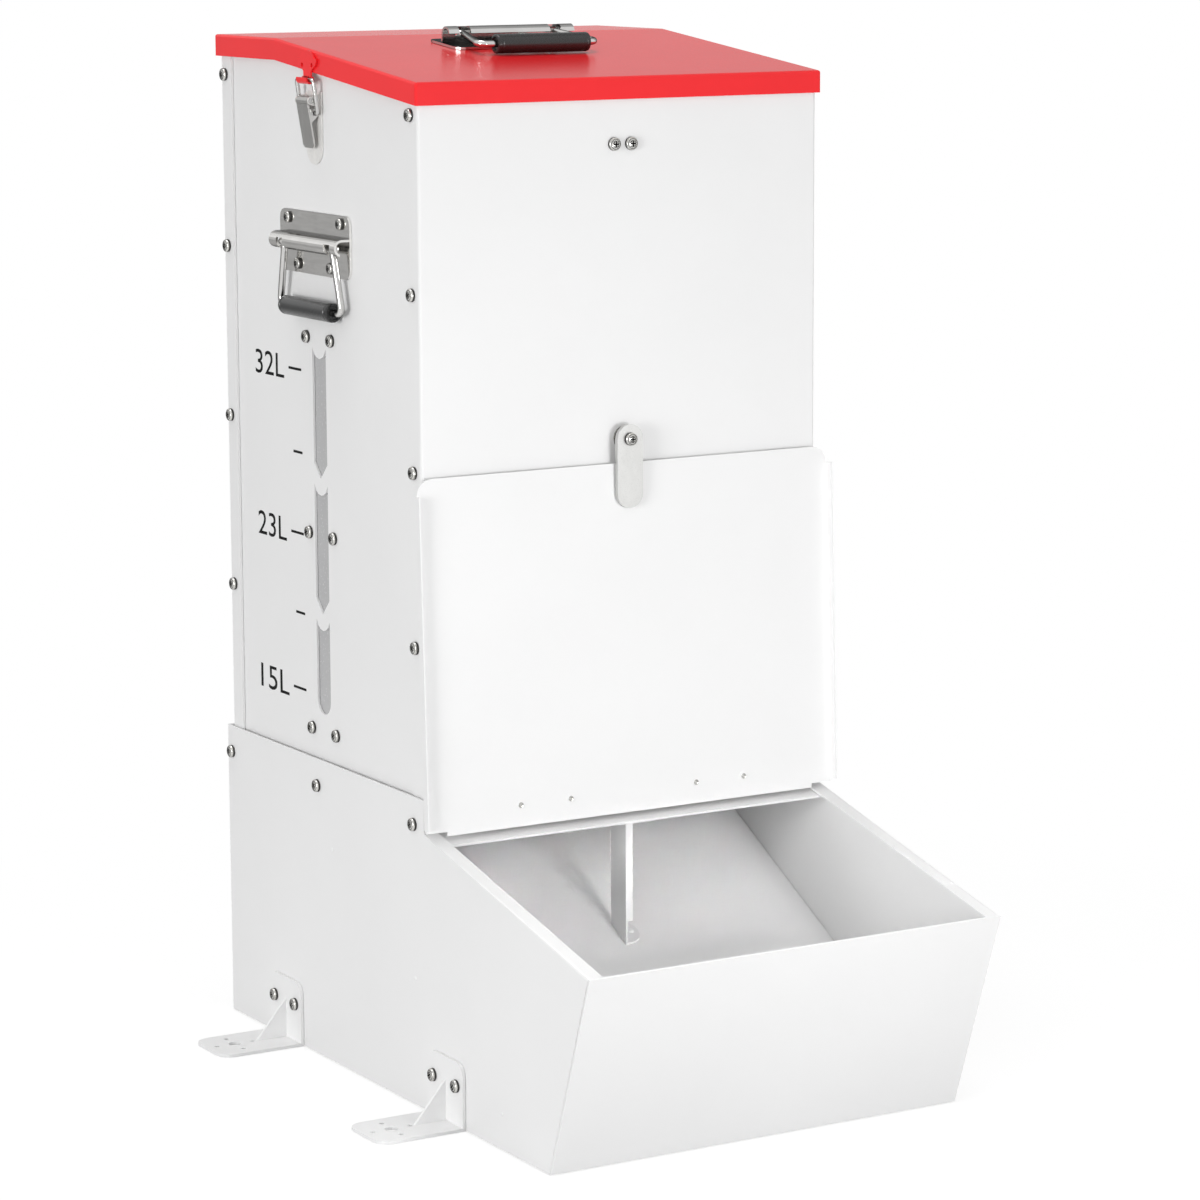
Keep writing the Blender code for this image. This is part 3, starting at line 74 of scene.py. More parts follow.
def middle_of(node):
    """The middle of a node's box at rest."""
    low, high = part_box(node)
    return [(a + b) / 2 for a, b in zip(low, high)]


# Faces: the hopper's front, on which the turn button's pivot lies, and on each side how far out
# from the middle a sheet's face is.
FOOT_SHEET = 0.0020
LATCH_SHEET = 0.0012
FRONT_FACE = PIVOTS["button_turn"][1]
SIDE_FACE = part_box("hopper_right_side")[1][0]
FLANGE_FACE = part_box("hopper_front_panel")[1][0]
BASE_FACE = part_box("base_right_side")[1][0]
FOOT_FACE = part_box("front_right_foot")[0][0] + FOOT_SHEET
KEEPER_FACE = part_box("right_keeper")[0][0] + LATCH_SHEET

# What stands on a face sinks into it a little.
SEAT_DIP = 0.0001

# Screws along the hopper's flanges, the base and the feet, and the ramp's rivets as (depth, height).
# A depth runs back from the hopper's front face.
REAR_FLANGE_DEPTH = 0.2705
REAR_FLANGE_HEIGHTS = (0.6413, 0.5278, 0.4141, 0.2990)
FRONT_FLANGE_DEPTH = 0.0095
FRONT_FLANGE_HEIGHTS = (0.6258, 0.5157, 0.4053, 0.2952)
BASE_ROW_DEPTHS = (0.2730, 0.1440, 0.0100)
BASE_ROW_HEIGHT = 0.1830
FOOT_SCREW_HEIGHT = 0.0275
FOOT_SCREW_SPREAD = 0.0150
FOOT_ENDS = ("front", "rear")
RAMP_RIVETS = ((0.1244, 0.1435), (0.0106, 0.0833), (-0.1012, 0.0231))

# Pan heads. Each outline point is (share of the radius, share of the height).
HEAD_RADIUS = 0.0042
HEAD_HEIGHT = 0.0034
SMALL_HEAD_RADIUS = 0.0037
SMALL_HEAD_HEIGHT = 0.0028
HEAD_SEAT = 0.96
HEAD_SKIRT = ((1.0, 0.10), (0.99, 0.45))
HEAD_SHOULDER = (0.70, 0.55)
HEAD_ROUNDING = (0.28, 0.30)
HEAD_ROUND_STEPS = 4
HEAD_CROWN = ((0.60, 0.93), (0.30, 0.99), (0, 1))

# The cross recess as (reach, half width, height) in the same shares, at its floor and above the crown.
CROSS_FLOOR = (0.36, 0.085, 0.35)
CROSS_MOUTH = (0.56, 0.13, 1.3)

# Where a screw head has painted shade, in the same shares: in the recess, round the skirt and in a
# ring on the crown.
RECESS_REACH = 0.5
RECESS_HEIGHTS = (0.3, 0.965)
SKIRT_REACH = 0.8
SKIRT_TOP = 0.5
RING_REACH = 0.72
RING_HALF = 0.05

# A head's cross is turned by this much and some steps in degrees, which differ between neighbours.
CROSS_TURN = radians(41)
TURN_STEP = 7
TURN_COUNT = 7
TURN_STRIDE = 5
BASE_FIRST_TURN = 3
FOOT_FIRST_TURN = 1

# Shank and nut of a through screw. The nut's outline is (radius, height), up to its seat.
SHANK_RADIUS = 0.0020
NUT_GAP = 0.0003
NUT_OUTLINE = (
    (0, -0.0034),
    (0.0018, -0.0034),
    (SHANK_RADIUS, -0.0030),
    (0.0036, -0.0030),
    (0.0038, -0.0027),
    (0.0038, -0.0003),
    (0.0036, 0),
    (SHANK_RADIUS, 0),
)
WINDOW_STACK = 0.0038
FRONT_STACK = 0.0033
PANEL_SHEET = 0.0015
WINDOW_SCREW_COUNT = 6

# Heads of the ramp's rivets, and the cover's hollow rivets from the flared foot to the rim.
RIVET_OUTLINE = (
    (0, -SEAT_DIP),
    (0.0015, -SEAT_DIP),
    (0.0016, 0.0001),
    (0.0012, 0.0004),
    (0.0006, 0.0005),
    (0, 0.00055),
)
HOLLOW_RIVET_OUTLINE = (
    (0, -0.0035),
    (0.0024, -0.0035),
    (0.0024, -0.0026),
    (0.0014, -0.0026),
    (0.0014, 0),
    (0.0031, 0),
    (0.0031, 0.0003),
    (0.0018, 0.00035),
    (0.0017, 0.0006),
    (0.0013, 0.0008),
    (0.0009, 0.0007),
    (0.0008, 0.0002),
    (0, 0.0002),
)
HOLLOW_RIVET_BARE = 0.00178

# The cover from its hinge's axis: how far it leans, its front face and the rise of its rivets.
COVER_LEAN = radians(2.1053)
COVER_FACE = 0.0040
COVER_RIVET_RISE = 0.0093
COVER_RIVET_COUNT = 4

# The lid, with depths as above, and its handle's place on the front slope.
LID_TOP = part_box("lid")[1][2]
LID_SLOPE = radians(6.337)
LID_RIDGE = 0.1912
LID_SKIRT = 0.0141
LID_HANDLE_DEPTH = 0.1395
LID_HANDLE_SIDE = -0.0027

# Drop handles: a side plate's middle, and the screws about a plate's middle as (along, up).
_, HANDLE_Y, HANDLE_Z = middle_of("left_handle_plate")
HANDLE_SHEET = 0.0018
HANDLE_SCREWS = ((0.0371, 0.0148), (-0.0366, 0.0148), (0.0232, -0.0143), (-0.0228, -0.0143))

# Bails, from the axis that they swing on. Their grips sit a little off the middle.
BAIL_RADIUS = 0.00225
BAIL_DROP = 0.0410
BAIL_LEAN = 0.0012
BAIL_TOP_HALF = 0.0338
BAIL_FOOT_HALF = 0.0440
BAIL_STUB = 0.0056
BAIL_STUB_BEND = 0.003
BAIL_CORNER = 0.0045
SIDE_GRIP_SHIFT = -0.0020
LID_GRIP_SHIFT = 0.0017

# Grips. Each end's outline is (radius, distance in from the end): sunk face, rim and groove.
GRIP_LENGTH = 0.068
GRIP_RADIUS = 0.00625
GRIP_PLAY = 0.0002
GROOVE_RADIUS = GRIP_RADIUS - 0.0003
GRIP_END = (
    (BAIL_RADIUS + GRIP_PLAY, 0.0012),
    (0.0042, 0.0012),
    (0.0046, 0),
    (0.0054, 0),
    (0.0060, 0.0003),
    (GRIP_RADIUS, 0.0010),
    (GRIP_RADIUS, 0.0024),
    (GROOVE_RADIUS, 0.0027),
    (GROOVE_RADIUS, 0.0033),
    (GRIP_RADIUS, 0.0036),
)

# Latch keepers on the lid's skirt. The shoulder is (half width, rise above the neck).
LATCH_Y = PIVOTS["left_lever_swing"][1]
KEEPER_RADIUS = 0.013
KEEPER_BELOW_LID = 0.0008
KEEPER_ROUND_FROM = 38
KEEPER_NECK_RISE = 0.0003
KEEPER_NECK_HALF = 0.0052
KEEPER_SHOULDER = ((KEEPER_NECK_HALF, 0), (0.0075, 0.0015), (0.0115, 0.0035), (KEEPER_RADIUS, 0.0060))
KEEPER_HOLE_SIDE = 0.0068
KEEPER_HOLE_RISE = 0.0040
KEEPER_HOLE_RADIUS = 0.0015
HOOK_DROP = 0.0052
HOOK_PLAY = 0.0002
HOOK_HALF = 0.0071
HOOK_LIP = 0.0016
HOOK_BACK = 0.002
ROUND_STEPS = 20
HOOK_STEPS = 16

# Latch loops: the wire's pins in the lever, its width and its bends.
LOOP_WIRE = 0.0013
LOOP_PIN_HALF = 0.0061
LOOP_HALF = 0.0117
LOOP_PIN_BEND = 0.0015
LOOP_BEND = 0.0022

# Litre marks on the left side. Their starts and ends are depths.
MARK_WORDS = ("32L", "23L", "15L")
MARK_WIDTH = 0.0425
MARK_HEIGHT = 0.0160
MARK_START = 0.2357
LONG_TICKS = (0.4541, 0.3460, 0.2421)
LONG_TICK_START = 0.1865
SHORT_TICKS = (0.3996, 0.2930)
SHORT_TICK_START = 0.1812
TICK_END = 0.1680
TICK_HALF = 0.00085
MARK_LIFT = 0.00006
MARK_DIP = 0.00002
TEXT_HALF = 0.5
TEXT_CURVE_STEPS = 4

# Edges are crisp from this angle in degrees, and on a wire only from a larger one.
CREASE = 35
WIRE_CREASE = 50

# A wire's end, as shares of its radius: the flat end's radius, and the length of the rounding.
WIRE_END_FLAT = 0.8
WIRE_END_ROUND = 0.2

# Straight pieces in each bend of a wire.
BEND_STEPS = 8

# Points of a sheet that lie closer than this are one point.
WELD = 1e-7


# Frames


def placed(u, v, origin):
    """Matrix whose first two axes are u and v, at an origin."""
    u = Vector(u).normalized()
    w = u.cross(Vector(v)).normalized()
    v = w.cross(u)
    turn = Matrix((u, v, w)).transposed().to_4x4()
    return Matrix.Translation(origin) @ turn


def at_side(side, origin):
    """Frame whose third axis points out from a side and whose second axis is up."""
    return placed((0, side, 0), UP, origin)


def on_side(side, out, y, z):
    """Frame on a side face, from how far out the face is."""
    return at_side(side, (side * out, y, z))


def on_front(x, y, z):
    """Frame on a face that looks forwards, with its second axis up."""
    return placed((1, 0, 0), UP, (x, y, z))


def on_lid(origin):
    """Frame on the lid's front slope, with its second axis to the rear and its third axis up."""
    return placed((1, 0, 0), (0, cos(LID_SLOPE), sin(LID_SLOPE)), origin)


def lid_height(depth):
    """Height of the lid's top, which is level behind its ridge and slopes down before it."""
    return LID_TOP - max(0, LID_RIDGE - depth) * tan(LID_SLOPE)


LID_HANDLE = (LID_HANDLE_SIDE, LID_HANDLE_DEPTH + FRONT_FACE, lid_height(LID_HANDLE_DEPTH))
LID_AT_LATCH = lid_height(LATCH_Y - FRONT_FACE)
SKIRT_FOOT = LID_AT_LATCH - LID_SKIRT

# The hook and the wire as (height, distance out from the hopper's side).
HOOK_HEIGHT = SKIRT_FOOT - HOOK_DROP
WIRE_OUT = KEEPER_FACE - SIDE_FACE + HOOK_PLAY + LOOP_WIRE
LOOP_PIVOT = (PIVOTS["right_loop_swing"][2], PIVOTS["right_loop_swing"][0] - SIDE_FACE)


# Materials


# What all finishes share: how their coarse and fine noise looks, and its middle range.
BUMP_STRENGTH = 0.35
PATCH_DETAIL = 4
PATCH_SWIRL = 0.4
GRAIN_DETAIL = 3
NOISE_RANGE = (0.3, 0.7)


def add_node(tree, kind, **inputs):
    node = tree.nodes.new(kind)
    for name, value in inputs.items():
        node.inputs[name.replace("_", " ")].default_value = value
    return node


def noise(tree, coordinates, scale, detail, distortion=0.0):
    node = add_node(tree, "ShaderNodeTexNoise", Scale=scale, Detail=detail, Distortion=distortion)
    tree.links.new(coordinates, node.inputs["Vector"])
    return node.outputs["Fac"]


def ramp_between(tree, value, first, last, start, end):
    """Value at first becomes start, at last becomes end, and is held outside."""
    node = tree.nodes.new("ShaderNodeMapRange")
    sockets = ("From Min", "From Max", "To Min", "To Max")
    for socket, number in zip(sockets, (first, last, start, end)):
        node.inputs[socket].default_value = number
    tree.links.new(value, node.inputs["Value"])
    return node.outputs["Result"]


def mixed(tree, factor, first, second):
    node = tree.nodes.new("ShaderNodeMix")
    node.data_type = "RGBA"
    node.inputs["A"].default_value = (*first, 1)
    node.inputs["B"].default_value = (*second, 1)
    tree.links.new(factor, node.inputs["Factor"])
    return node.outputs["Result"]


def finish(name, colour, tone, roughness, rough_range, patch, grain, height, metallic=0.0,
           stretch=(1, 1, 1), coat=0.0, coat_roughness=0.1, specular=0.5, tint=None, edge=None):
    """A surface with patches of tone, a grain that changes its roughness, and a fine relief.

    The tint is the lighter patches' colour, and edge is how bright a metal is at a grazing angle.
    """
    material = bpy.data.materials.new(name)
    material.use_nodes = True
    tree = material.node_tree
    shader = tree.nodes["Principled BSDF"]
    place = tree.nodes.new("ShaderNodeTexCoord")
    scaling = add_node(tree, "ShaderNodeMapping", Scale=stretch)
    tree.links.new(place.outputs["Object"], scaling.inputs["Vector"])
    coordinates = scaling.outputs["Vector"]
    coarse = noise(tree, coordinates, patch, PATCH_DETAIL, PATCH_SWIRL)
    patches = ramp_between(tree, coarse, *NOISE_RANGE, 0, 1)
    darker = [channel * (1 - tone) for channel in colour]
    lighter = [min(1, channel * (1 + tone)) for channel in (tint or colour)]
    tree.links.new(mixed(tree, patches, darker, lighter), shader.inputs["Base Color"])
    fine = noise(tree, coordinates, grain, GRAIN_DETAIL)
    low, high = roughness - rough_range, roughness + rough_range
    tree.links.new(ramp_between(tree, fine, *NOISE_RANGE, low, high), shader.inputs["Roughness"])
    bump = add_node(tree, "ShaderNodeBump", Strength=BUMP_STRENGTH, Distance=height)
    tree.links.new(fine, bump.inputs["Height"])
    tree.links.new(bump.outputs["Normal"], shader.inputs["Normal"])
    shader.inputs["Metallic"].default_value = metallic
    shader.inputs["Coat Weight"].default_value = coat
    shader.inputs["Coat Roughness"].default_value = coat_roughness
    shader.inputs["Specular IOR Level"].default_value = specular
    if edge is not None:
        shader.inputs["Specular Tint"].default_value = (edge, edge, edge, 1)
    return material


FINISHES = {
    "white_paint": finish(
        "white_powder_coat", (0.85, 0.85, 0.85), tone=0.012, roughness=0.42, rough_range=0.05,
        patch=9, grain=900, height=0.00010,
    ),
    # Painted light: the same white powder coat as the white paint, made lighter so that the trough,
    # whose inside lies in shade, comes out brighter.
    "trough_paint": finish(
        "trough_powder_coat", (0.94, 0.94, 0.94), tone=0.012, roughness=0.45, rough_range=0.06,
        patch=14, grain=900, height=0.00012,
    ),
    "red_paint": finish(
        "red_gloss_coat", (0.93, 0.026, 0.032), tone=0.03, roughness=0.20, rough_range=0.03,
        patch=11, grain=700, height=0.00008, specular=0.24,
    ),
    "polished_steel": finish(
        "polished_steel", (0.60, 0.595, 0.585), tone=0.05, roughness=0.14, rough_range=0.04,
        patch=60, grain=1500, height=0.00002, metallic=1, stretch=(1, 1, 4), edge=0.12,
    ),
    "satin_steel": finish(
        "satin_steel", (0.62, 0.615, 0.60), tone=0.06, roughness=0.30, rough_range=0.07,
        patch=70, grain=1800, height=0.00004, metallic=1, stretch=(3, 3, 1), edge=0.4,
    ),
    "zinc_plate": finish(
        "zinc_plate", (0.58, 0.58, 0.57), tone=0.10, roughness=0.24, rough_range=0.08,
        patch=220, grain=2600, height=0.00004, metallic=1, tint=(0.62, 0.61, 0.57), edge=0.2,
    ),
    "black_rubber": finish(
        "black_rubber", (0.014, 0.0145, 0.015), tone=0.15, roughness=0.27, rough_range=0.06,
        patch=90, grain=2400, height=0.00006, specular=0.6,
    ),
    # Painted shade: the window strip is clear plastic, and its even grey stands for the dark inside of
    # the hopper seen through it.
    "clear_strip": finish(
        "clear_strip", (0.475, 0.475, 0.48), tone=0.03, roughness=0.24, rough_range=0.05,
        patch=25, grain=600, height=0.00004, coat=0.3, coat_roughness=0.08,
    ),
}
PLATE_STEEL = finish(
    "brushed_plate", (0.90, 0.89, 0.87), tone=0.05, roughness=0.13, rough_range=0.04,
    patch=60, grain=1500, height=0.00002, metallic=1, stretch=(1, 1, 6), edge=0.2,
)
BRIGHT_ZINC = finish(
    "bright_zinc", (0.84, 0.83, 0.81), tone=0.03, roughness=0.30, rough_range=0.06,
    patch=90, grain=2000, height=0.00003, metallic=0.15, stretch=(2, 2, 1),
)
BUTTON_STEEL = finish(
    "button_steel", (0.56, 0.56, 0.55), tone=0.03, roughness=0.32, rough_range=0.06,
    patch=90, grain=2000, height=0.00003, metallic=1, stretch=(2, 2, 1),
)
# Painted shade and painted dark reflection round a screw head's skirt and in a ring on its crown.
HEAD_PAINTED_SHADE = finish(
    "head_painted_shade", (0.045, 0.044, 0.042), tone=0.25, roughness=0.45, rough_range=0.10,
    patch=300, grain=2600, height=0.00004, metallic=0.6,
)
INK = finish(
    "printed_ink", (0.004, 0.004, 0.004), tone=0.2, roughness=0.6, rough_range=0.08,
    patch=120, grain=3000, height=0.00002, specular=0.1,
)
# Painted shade in a screw head's cross recess.
RECESS_PAINTED_SHADE = finish(
    "recess_painted_shade", (0.008, 0.008, 0.008), tone=0.3, roughness=0.6, rough_range=0.1,
    patch=300, grain=3000, height=0.00005, specular=0.1,
)

# Nodes whose look differs from that of their slot.
NODE_FINISHES = {
    "turn_button": BUTTON_STEEL,
    "divider_rivet": FINISHES["trough_paint"],
    "left_latch_base": BRIGHT_ZINC,
    "right_latch_base": BRIGHT_ZINC,
    "left_handle_plate": PLATE_STEEL,
    "right_handle_plate": PLATE_STEEL,
}


def paint_nodes():
    """Gives every node of the frame its finish in place of the plain one that it came with."""
    for name, node in frame["nodes"].items():
        for place, given in enumerate(node.data.materials):
            slot_finish = FINISHES[given.name.split(".")[0]]
            node.data.materials[place] = NODE_FINISHES.get(name, slot_finish)


paint_nodes()


# Meshes


def shade(mesh, limit=CREASE):
    """Smooth shading with crisp edges above a limit in degrees."""
    mesh.polygons.foreach_set("use_smooth", [True] * len(mesh.polygons))
    bm = bmesh.new()
    bm.from_mesh(mesh)
    for edge in bm.edges:
        edge.smooth = len(edge.link_faces) == 2 and edge.calc_face_angle() < radians(limit)
    bm.to_mesh(mesh)
    bm.free()


def mesh_of(name, points, faces, limit=CREASE):
    mesh = bpy.data.meshes.new(name)
    mesh.from_pydata([tuple(point) for point in points], [], faces)
    mesh.validate()
    shade(mesh, limit)
    return mesh


def band(lower, upper):
    """Faces between two rings of point numbers, one of which may be a single point."""
    steps = max(len(lower), len(upper))
    faces = []
    for step in range(steps):
        after = (step + 1) % steps
        if len(lower) == 1:
            faces.append((lower[0], upper[after], upper[step]))
        elif len(upper) == 1:
            faces.append((lower[step], lower[after], upper[0]))
        else:
            faces.append((lower[step], lower[after], upper[after], upper[step]))
    return faces


def lathe(name, profile, steps=32):
    """Closed surface from (radius, height) points around the third axis.

    A profile that ends on the axis is closed there. One that doesn't is joined end to end.
    """
    points = []
    rings = []
    for radius, height in profile:
        if radius == 0:
            rings.append([len(points)])
            points.append((0, 0, height))
            continue
        rings.append(list(range(len(points), len(points) + steps)))
        for step in range(steps):
            angle = 2 * pi * step / steps
            points.append((radius * cos(angle), radius * sin(angle), height))
    pairs = list(zip(rings, rings[1:]))
    if profile[0][0] and profile[-1][0]:
        pairs.append((rings[-1], rings[0]))
    faces = [face for lower, upper in pairs for face in band(lower, upper)]
    return mesh_of(name, points, faces)


def prism(name, lower, upper):
    """Closed solid between two outlines with the same number of points."""
    count = len(lower)
    first = list(range(count))
    second = list(range(count, 2 * count))
    faces = [tuple(reversed(first)), tuple(second)] + band(first, second)
    return mesh_of(name, list(lower) + list(upper), faces)


def add_piece(name, mesh, matrix, body, slot, material=None):
    """A piece that rides on a body, with its slot's finish unless its mesh or a material says else."""
    piece = bpy.data.objects.new(name, mesh)
    bpy.context.scene.collection.objects.link(piece)
    piece.matrix_world = matrix
    if not mesh.materials:
        mesh.materials.append(material or FINISHES[slot])
    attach(piece, body)
    return piece


def evaluated_mesh(helper):
    """The mesh that an object's modifiers or curve make."""
    graph = bpy.context.evaluated_depsgraph_get()
    return bpy.data.meshes.new_from_object(helper.evaluated_get(graph))


def carved(body, cutter):
    """The body's mesh less the cutter's."""
    first = bpy.data.objects.new("carve_body", body)
    second = bpy.data.objects.new("carve_cutter", cutter)
    for helper in (first, second):
        bpy.context.scene.collection.objects.link(helper)
    boolean = first.modifiers.new("cut", "BOOLEAN")
    boolean.operation = "DIFFERENCE"
    boolean.solver = "EXACT"
    boolean.object = second
    result = evaluated_mesh(first)
    for helper in (first, second):
        bpy.data.objects.remove(helper, do_unlink=True)
    for mesh in (body, cutter):
        bpy.data.meshes.remove(mesh)
    return result


def arc(centre_u, centre_v, radius, start, end, steps):
    """Points on a circle between two angles in degrees."""
    turns = [radians(start + (end - start) * i / steps) for i in range(steps + 1)]
    return [(centre_u + radius * cos(turn), centre_v + radius * sin(turn)) for turn in turns]


def flat_sheet(name, loops, low, high):
    """A flat sheet with holes, from outlines in the first two axes."""
    curve = bpy.data.curves.new(name, "CURVE")
    curve.dimensions = "2D"
    curve.fill_mode = "BOTH"
    curve.extrude = (high - low) / 2
    for loop in loops:
        spline = curve.splines.new("POLY")
        spline.points.add(len(loop) - 1)
        spline.use_cyclic_u = True
        for point, (u, v) in zip(spline.points, loop):
            point.co = (u, v, 0, 1)
    helper = bpy.data.objects.new(name, curve)
    bpy.context.scene.collection.objects.link(helper)
    mesh = evaluated_mesh(helper)
    bpy.data.objects.remove(helper)
    mesh.transform(Matrix.Translation((0, 0, (low + high) / 2)))
    bm = bmesh.new()
    bm.from_mesh(mesh)
    bmesh.ops.remove_doubles(bm, verts=bm.verts, dist=WELD)
    bmesh.ops.recalc_face_normals(bm, faces=bm.faces)
    bm.to_mesh(mesh)
    bm.free()
    return mesh


def joined(name, meshes):
    """One mesh of several, which are used up."""
    bm = bmesh.new()
    for mesh in meshes:
        bm.from_mesh(mesh)
        bpy.data.meshes.remove(mesh)
    result = bpy.data.meshes.new(name)
    bm.to_mesh(result)
    bm.free()
    shade(result)
    return result


def rounded_path(points, radii):
    """A bent wire's points, with an arc in place of each inner corner."""
    path = [Vector(points[0])]
    for before, corner, after, radius in zip(points, points[1:], points[2:], radii):
        corner = Vector(corner)
        back = (Vector(before) - corner).normalized()
        ahead = (Vector(after) - corner).normalized()
        half = back.angle(ahead) / 2
        centre = corner + (back + ahead).normalized() * (radius / sin(half))
        start = corner + back * (radius / tan(half)) - centre
        end = corner + ahead * (radius / tan(half)) - centre
        for i in range(BEND_STEPS + 1):
            path.append(centre + start.slerp(end, i / BEND_STEPS).normalized() * radius)
    path.append(Vector(points[-1]))
    return path


def tube(name, path, radius, steps=20):
    """A smooth round wire with slightly rounded ends along a path of points."""
    narrow = WIRE_END_FLAT * radius
    inset = WIRE_END_ROUND * radius
    rings = []
    points = []
    normal = None
    for place, centre in enumerate(path):
        before = path[max(place - 1, 0)]
        after = path[min(place + 1, len(path) - 1)]
        along = (after - before).normalized()
        if normal is None:
            normal = along.orthogonal().normalized()
        normal = (normal - along * normal.dot(along)).normalized()
        across = along.cross(normal)
        circles = [(centre, radius)]
        if place == 0:
            circles = [(centre, narrow), (centre + along * inset, radius)]
        if place == len(path) - 1:
            circles = [(centre - along * inset, radius), (centre, narrow)]
        for middle, reach in circles:
            rings.append(list(range(len(points), len(points) + steps)))
            for step in range(steps):
                turn = 2 * pi * step / steps
                points.append(middle + (normal * cos(turn) + across * sin(turn)) * reach)
    faces = [tuple(reversed(rings[0])), tuple(rings[-1])]
    for lower, upper in zip(rings, rings[1:]):
        faces += band(lower, upper)
    return mesh_of(name, points, faces, WIRE_CREASE)


# Screws and rivets


def cross_outline(shares, radius, height):
    """Outline of a cross at one height, its sizes as shares of a head's radius and height."""
    reach, half, level = shares[0] * radius, shares[1] * radius, shares[2] * height
    corners = ((reach, half), (half, half), (half, reach))
    outline = []
    for quarter in range(4):
        turn = Matrix.Rotation(quarter * pi / 2, 2)
        outline += [(*(turn @ Vector(corner)), level) for corner in corners]
    return outline


def head_profile(radius, height):
    """Outer side of a pan head, from its seat up to its crown."""
    profile = [(HEAD_SEAT * radius, -SEAT_DIP)]
    profile += [(out * radius, up * height) for out, up in HEAD_SKIRT]
    for step in range(1, HEAD_ROUND_STEPS + 1):
        angle = radians(90 * step / HEAD_ROUND_STEPS)
        out = HEAD_SHOULDER[0] * radius + HEAD_ROUNDING[0] * radius * cos(angle)
        up = HEAD_SHOULDER[1] * height + HEAD_ROUNDING[1] * height * sin(angle)
        profile.append((out, up))
    return profile + [(out * radius, up * height) for out, up in HEAD_CROWN]


def head_material(centre, radius, height):
    """Place of a face's material: 1 for the painted shade in the recess, 2 for the painted shade round
    the skirt and in a ring on the crown, else 0.
    """
    reach = Vector(centre[:2]).length
    if reach < RECESS_REACH * radius:
        if RECESS_HEIGHTS[0] * height < centre.z < RECESS_HEIGHTS[1] * height:
            return 1
    skirt = reach > SKIRT_REACH * radius and -SEAT_DIP < centre.z < SKIRT_TOP * height
    ring = abs(reach - RING_REACH * radius) < RING_HALF * radius and centre.z > SKIRT_TOP * height
    return 2 if skirt or ring else 0


def screw_mesh(name, radius, height, below=((0, -SEAT_DIP),)):
    """A pan head with a cross recess, standing on the plane, and its shank and nut below."""
    head = lathe(name, list(below) + head_profile(radius, height))
    low = cross_outline(CROSS_FLOOR, radius, height)
    high = cross_outline(CROSS_MOUTH, radius, height)
    mesh = carved(head, prism("cross", low, high))
    shade(mesh)
    for face in mesh.polygons:
        face.material_index = head_material(face.center, radius, height)
    # The cross recess, the skirt and the crown ring get painted shade.
    for material in (FINISHES["zinc_plate"], RECESS_PAINTED_SHADE, HEAD_PAINTED_SHADE):
        mesh.materials.append(material)
    return mesh


def through_screw(name, stack):
    """A whole screw whose head stands on the plane, with its nut below a stack of sheets."""
    seat = -stack - NUT_GAP
    below = [(radius, seat + height) for radius, height in NUT_OUTLINE]
    below.append((SHANK_RADIUS, -SEAT_DIP))
    return screw_mesh(name, HEAD_RADIUS, HEAD_HEIGHT, below)


def hollow_rivet_mesh():
    """A hollow rivet with a painted rim in front and its flared foot behind the hinge's leaf."""
    mesh = lathe("cover_rivet", HOLLOW_RIVET_OUTLINE, steps=28)
    for face in mesh.polygons:
        reach = Vector(face.center[:2]).length
        face.material_index = int(face.center.z > 0 and reach > HOLLOW_RIVET_BARE)
    for material in (FINISHES["zinc_plate"], FINISHES["white_paint"]):
        mesh.materials.append(material)
    return mesh


HEAD = screw_mesh("pan_head", HEAD_RADIUS, HEAD_HEIGHT)
SMALL_HEAD = screw_mesh("small_pan_head", SMALL_HEAD_RADIUS, SMALL_HEAD_HEIGHT)
RIVET = lathe("rivet_head", RIVET_OUTLINE, steps=20)


def add_screw(name, matrix, body, number, mesh=HEAD):
    """A screw whose cross is turned by an amount that depends on its number."""
    step = (number * TURN_STRIDE) % TURN_COUNT - TURN_COUNT // 2
    turn = Matrix.Rotation(CROSS_TURN + radians(TURN_STEP * step), 4, "Z")
    return add_piece(name, mesh, matrix @ turn, body, "zinc_plate")


def add_flange_screws(side, word):
    rows = [(REAR_FLANGE_DEPTH, height) for height in REAR_FLANGE_HEIGHTS]
    rows += [(FRONT_FLANGE_DEPTH, height) for height in FRONT_FLANGE_HEIGHTS]
    for number, (depth, height) in enumerate(rows, 1):
        place = on_side(side, FLANGE_FACE, depth + FRONT_FACE, height)
        add_screw(f"{word}_flange_screw_{number}", place, "feeder", number)


def add_base_screws(side, word):
    """The row along the base, two on each foot and the ramp's rivets."""
    for number, depth in enumerate(BASE_ROW_DEPTHS, 1):
        place = on_side(side, BASE_FACE, depth + FRONT_FACE, BASE_ROW_HEIGHT)
        add_screw(f"{word}_base_screw_{number}", place, "feeder", number + BASE_FIRST_TURN)
    for end in FOOT_ENDS:
        _, middle, _ = middle_of(f"{end}_{word}_foot")
        for number, sign in enumerate((-1, 1), 1):
            y = middle + sign * FOOT_SCREW_SPREAD
            place = on_side(side, FOOT_FACE, y, FOOT_SCREW_HEIGHT)
            turn = number + FOOT_FIRST_TURN
            add_screw(f"{end}_{word}_foot_screw_{number}", place, "feeder", turn)
    for number, (depth, height) in enumerate(RAMP_RIVETS, 1):
        place = on_side(side, BASE_FACE, depth + FRONT_FACE, height)
        add_piece(f"{word}_ramp_rivet_{number}", RIVET, place, "feeder", "white_paint")


def add_handle_screws(name, place, body, sign=1):
    """The screws of a drop handle, from the frame of the face below its plate."""
    for number, (along, up) in enumerate(HANDLE_SCREWS, 1):
        where = place @ Matrix.Translation((sign * along, up, HANDLE_SHEET))
        add_screw(f"{name}_handle_screw_{number}", where, body, number, SMALL_HEAD)


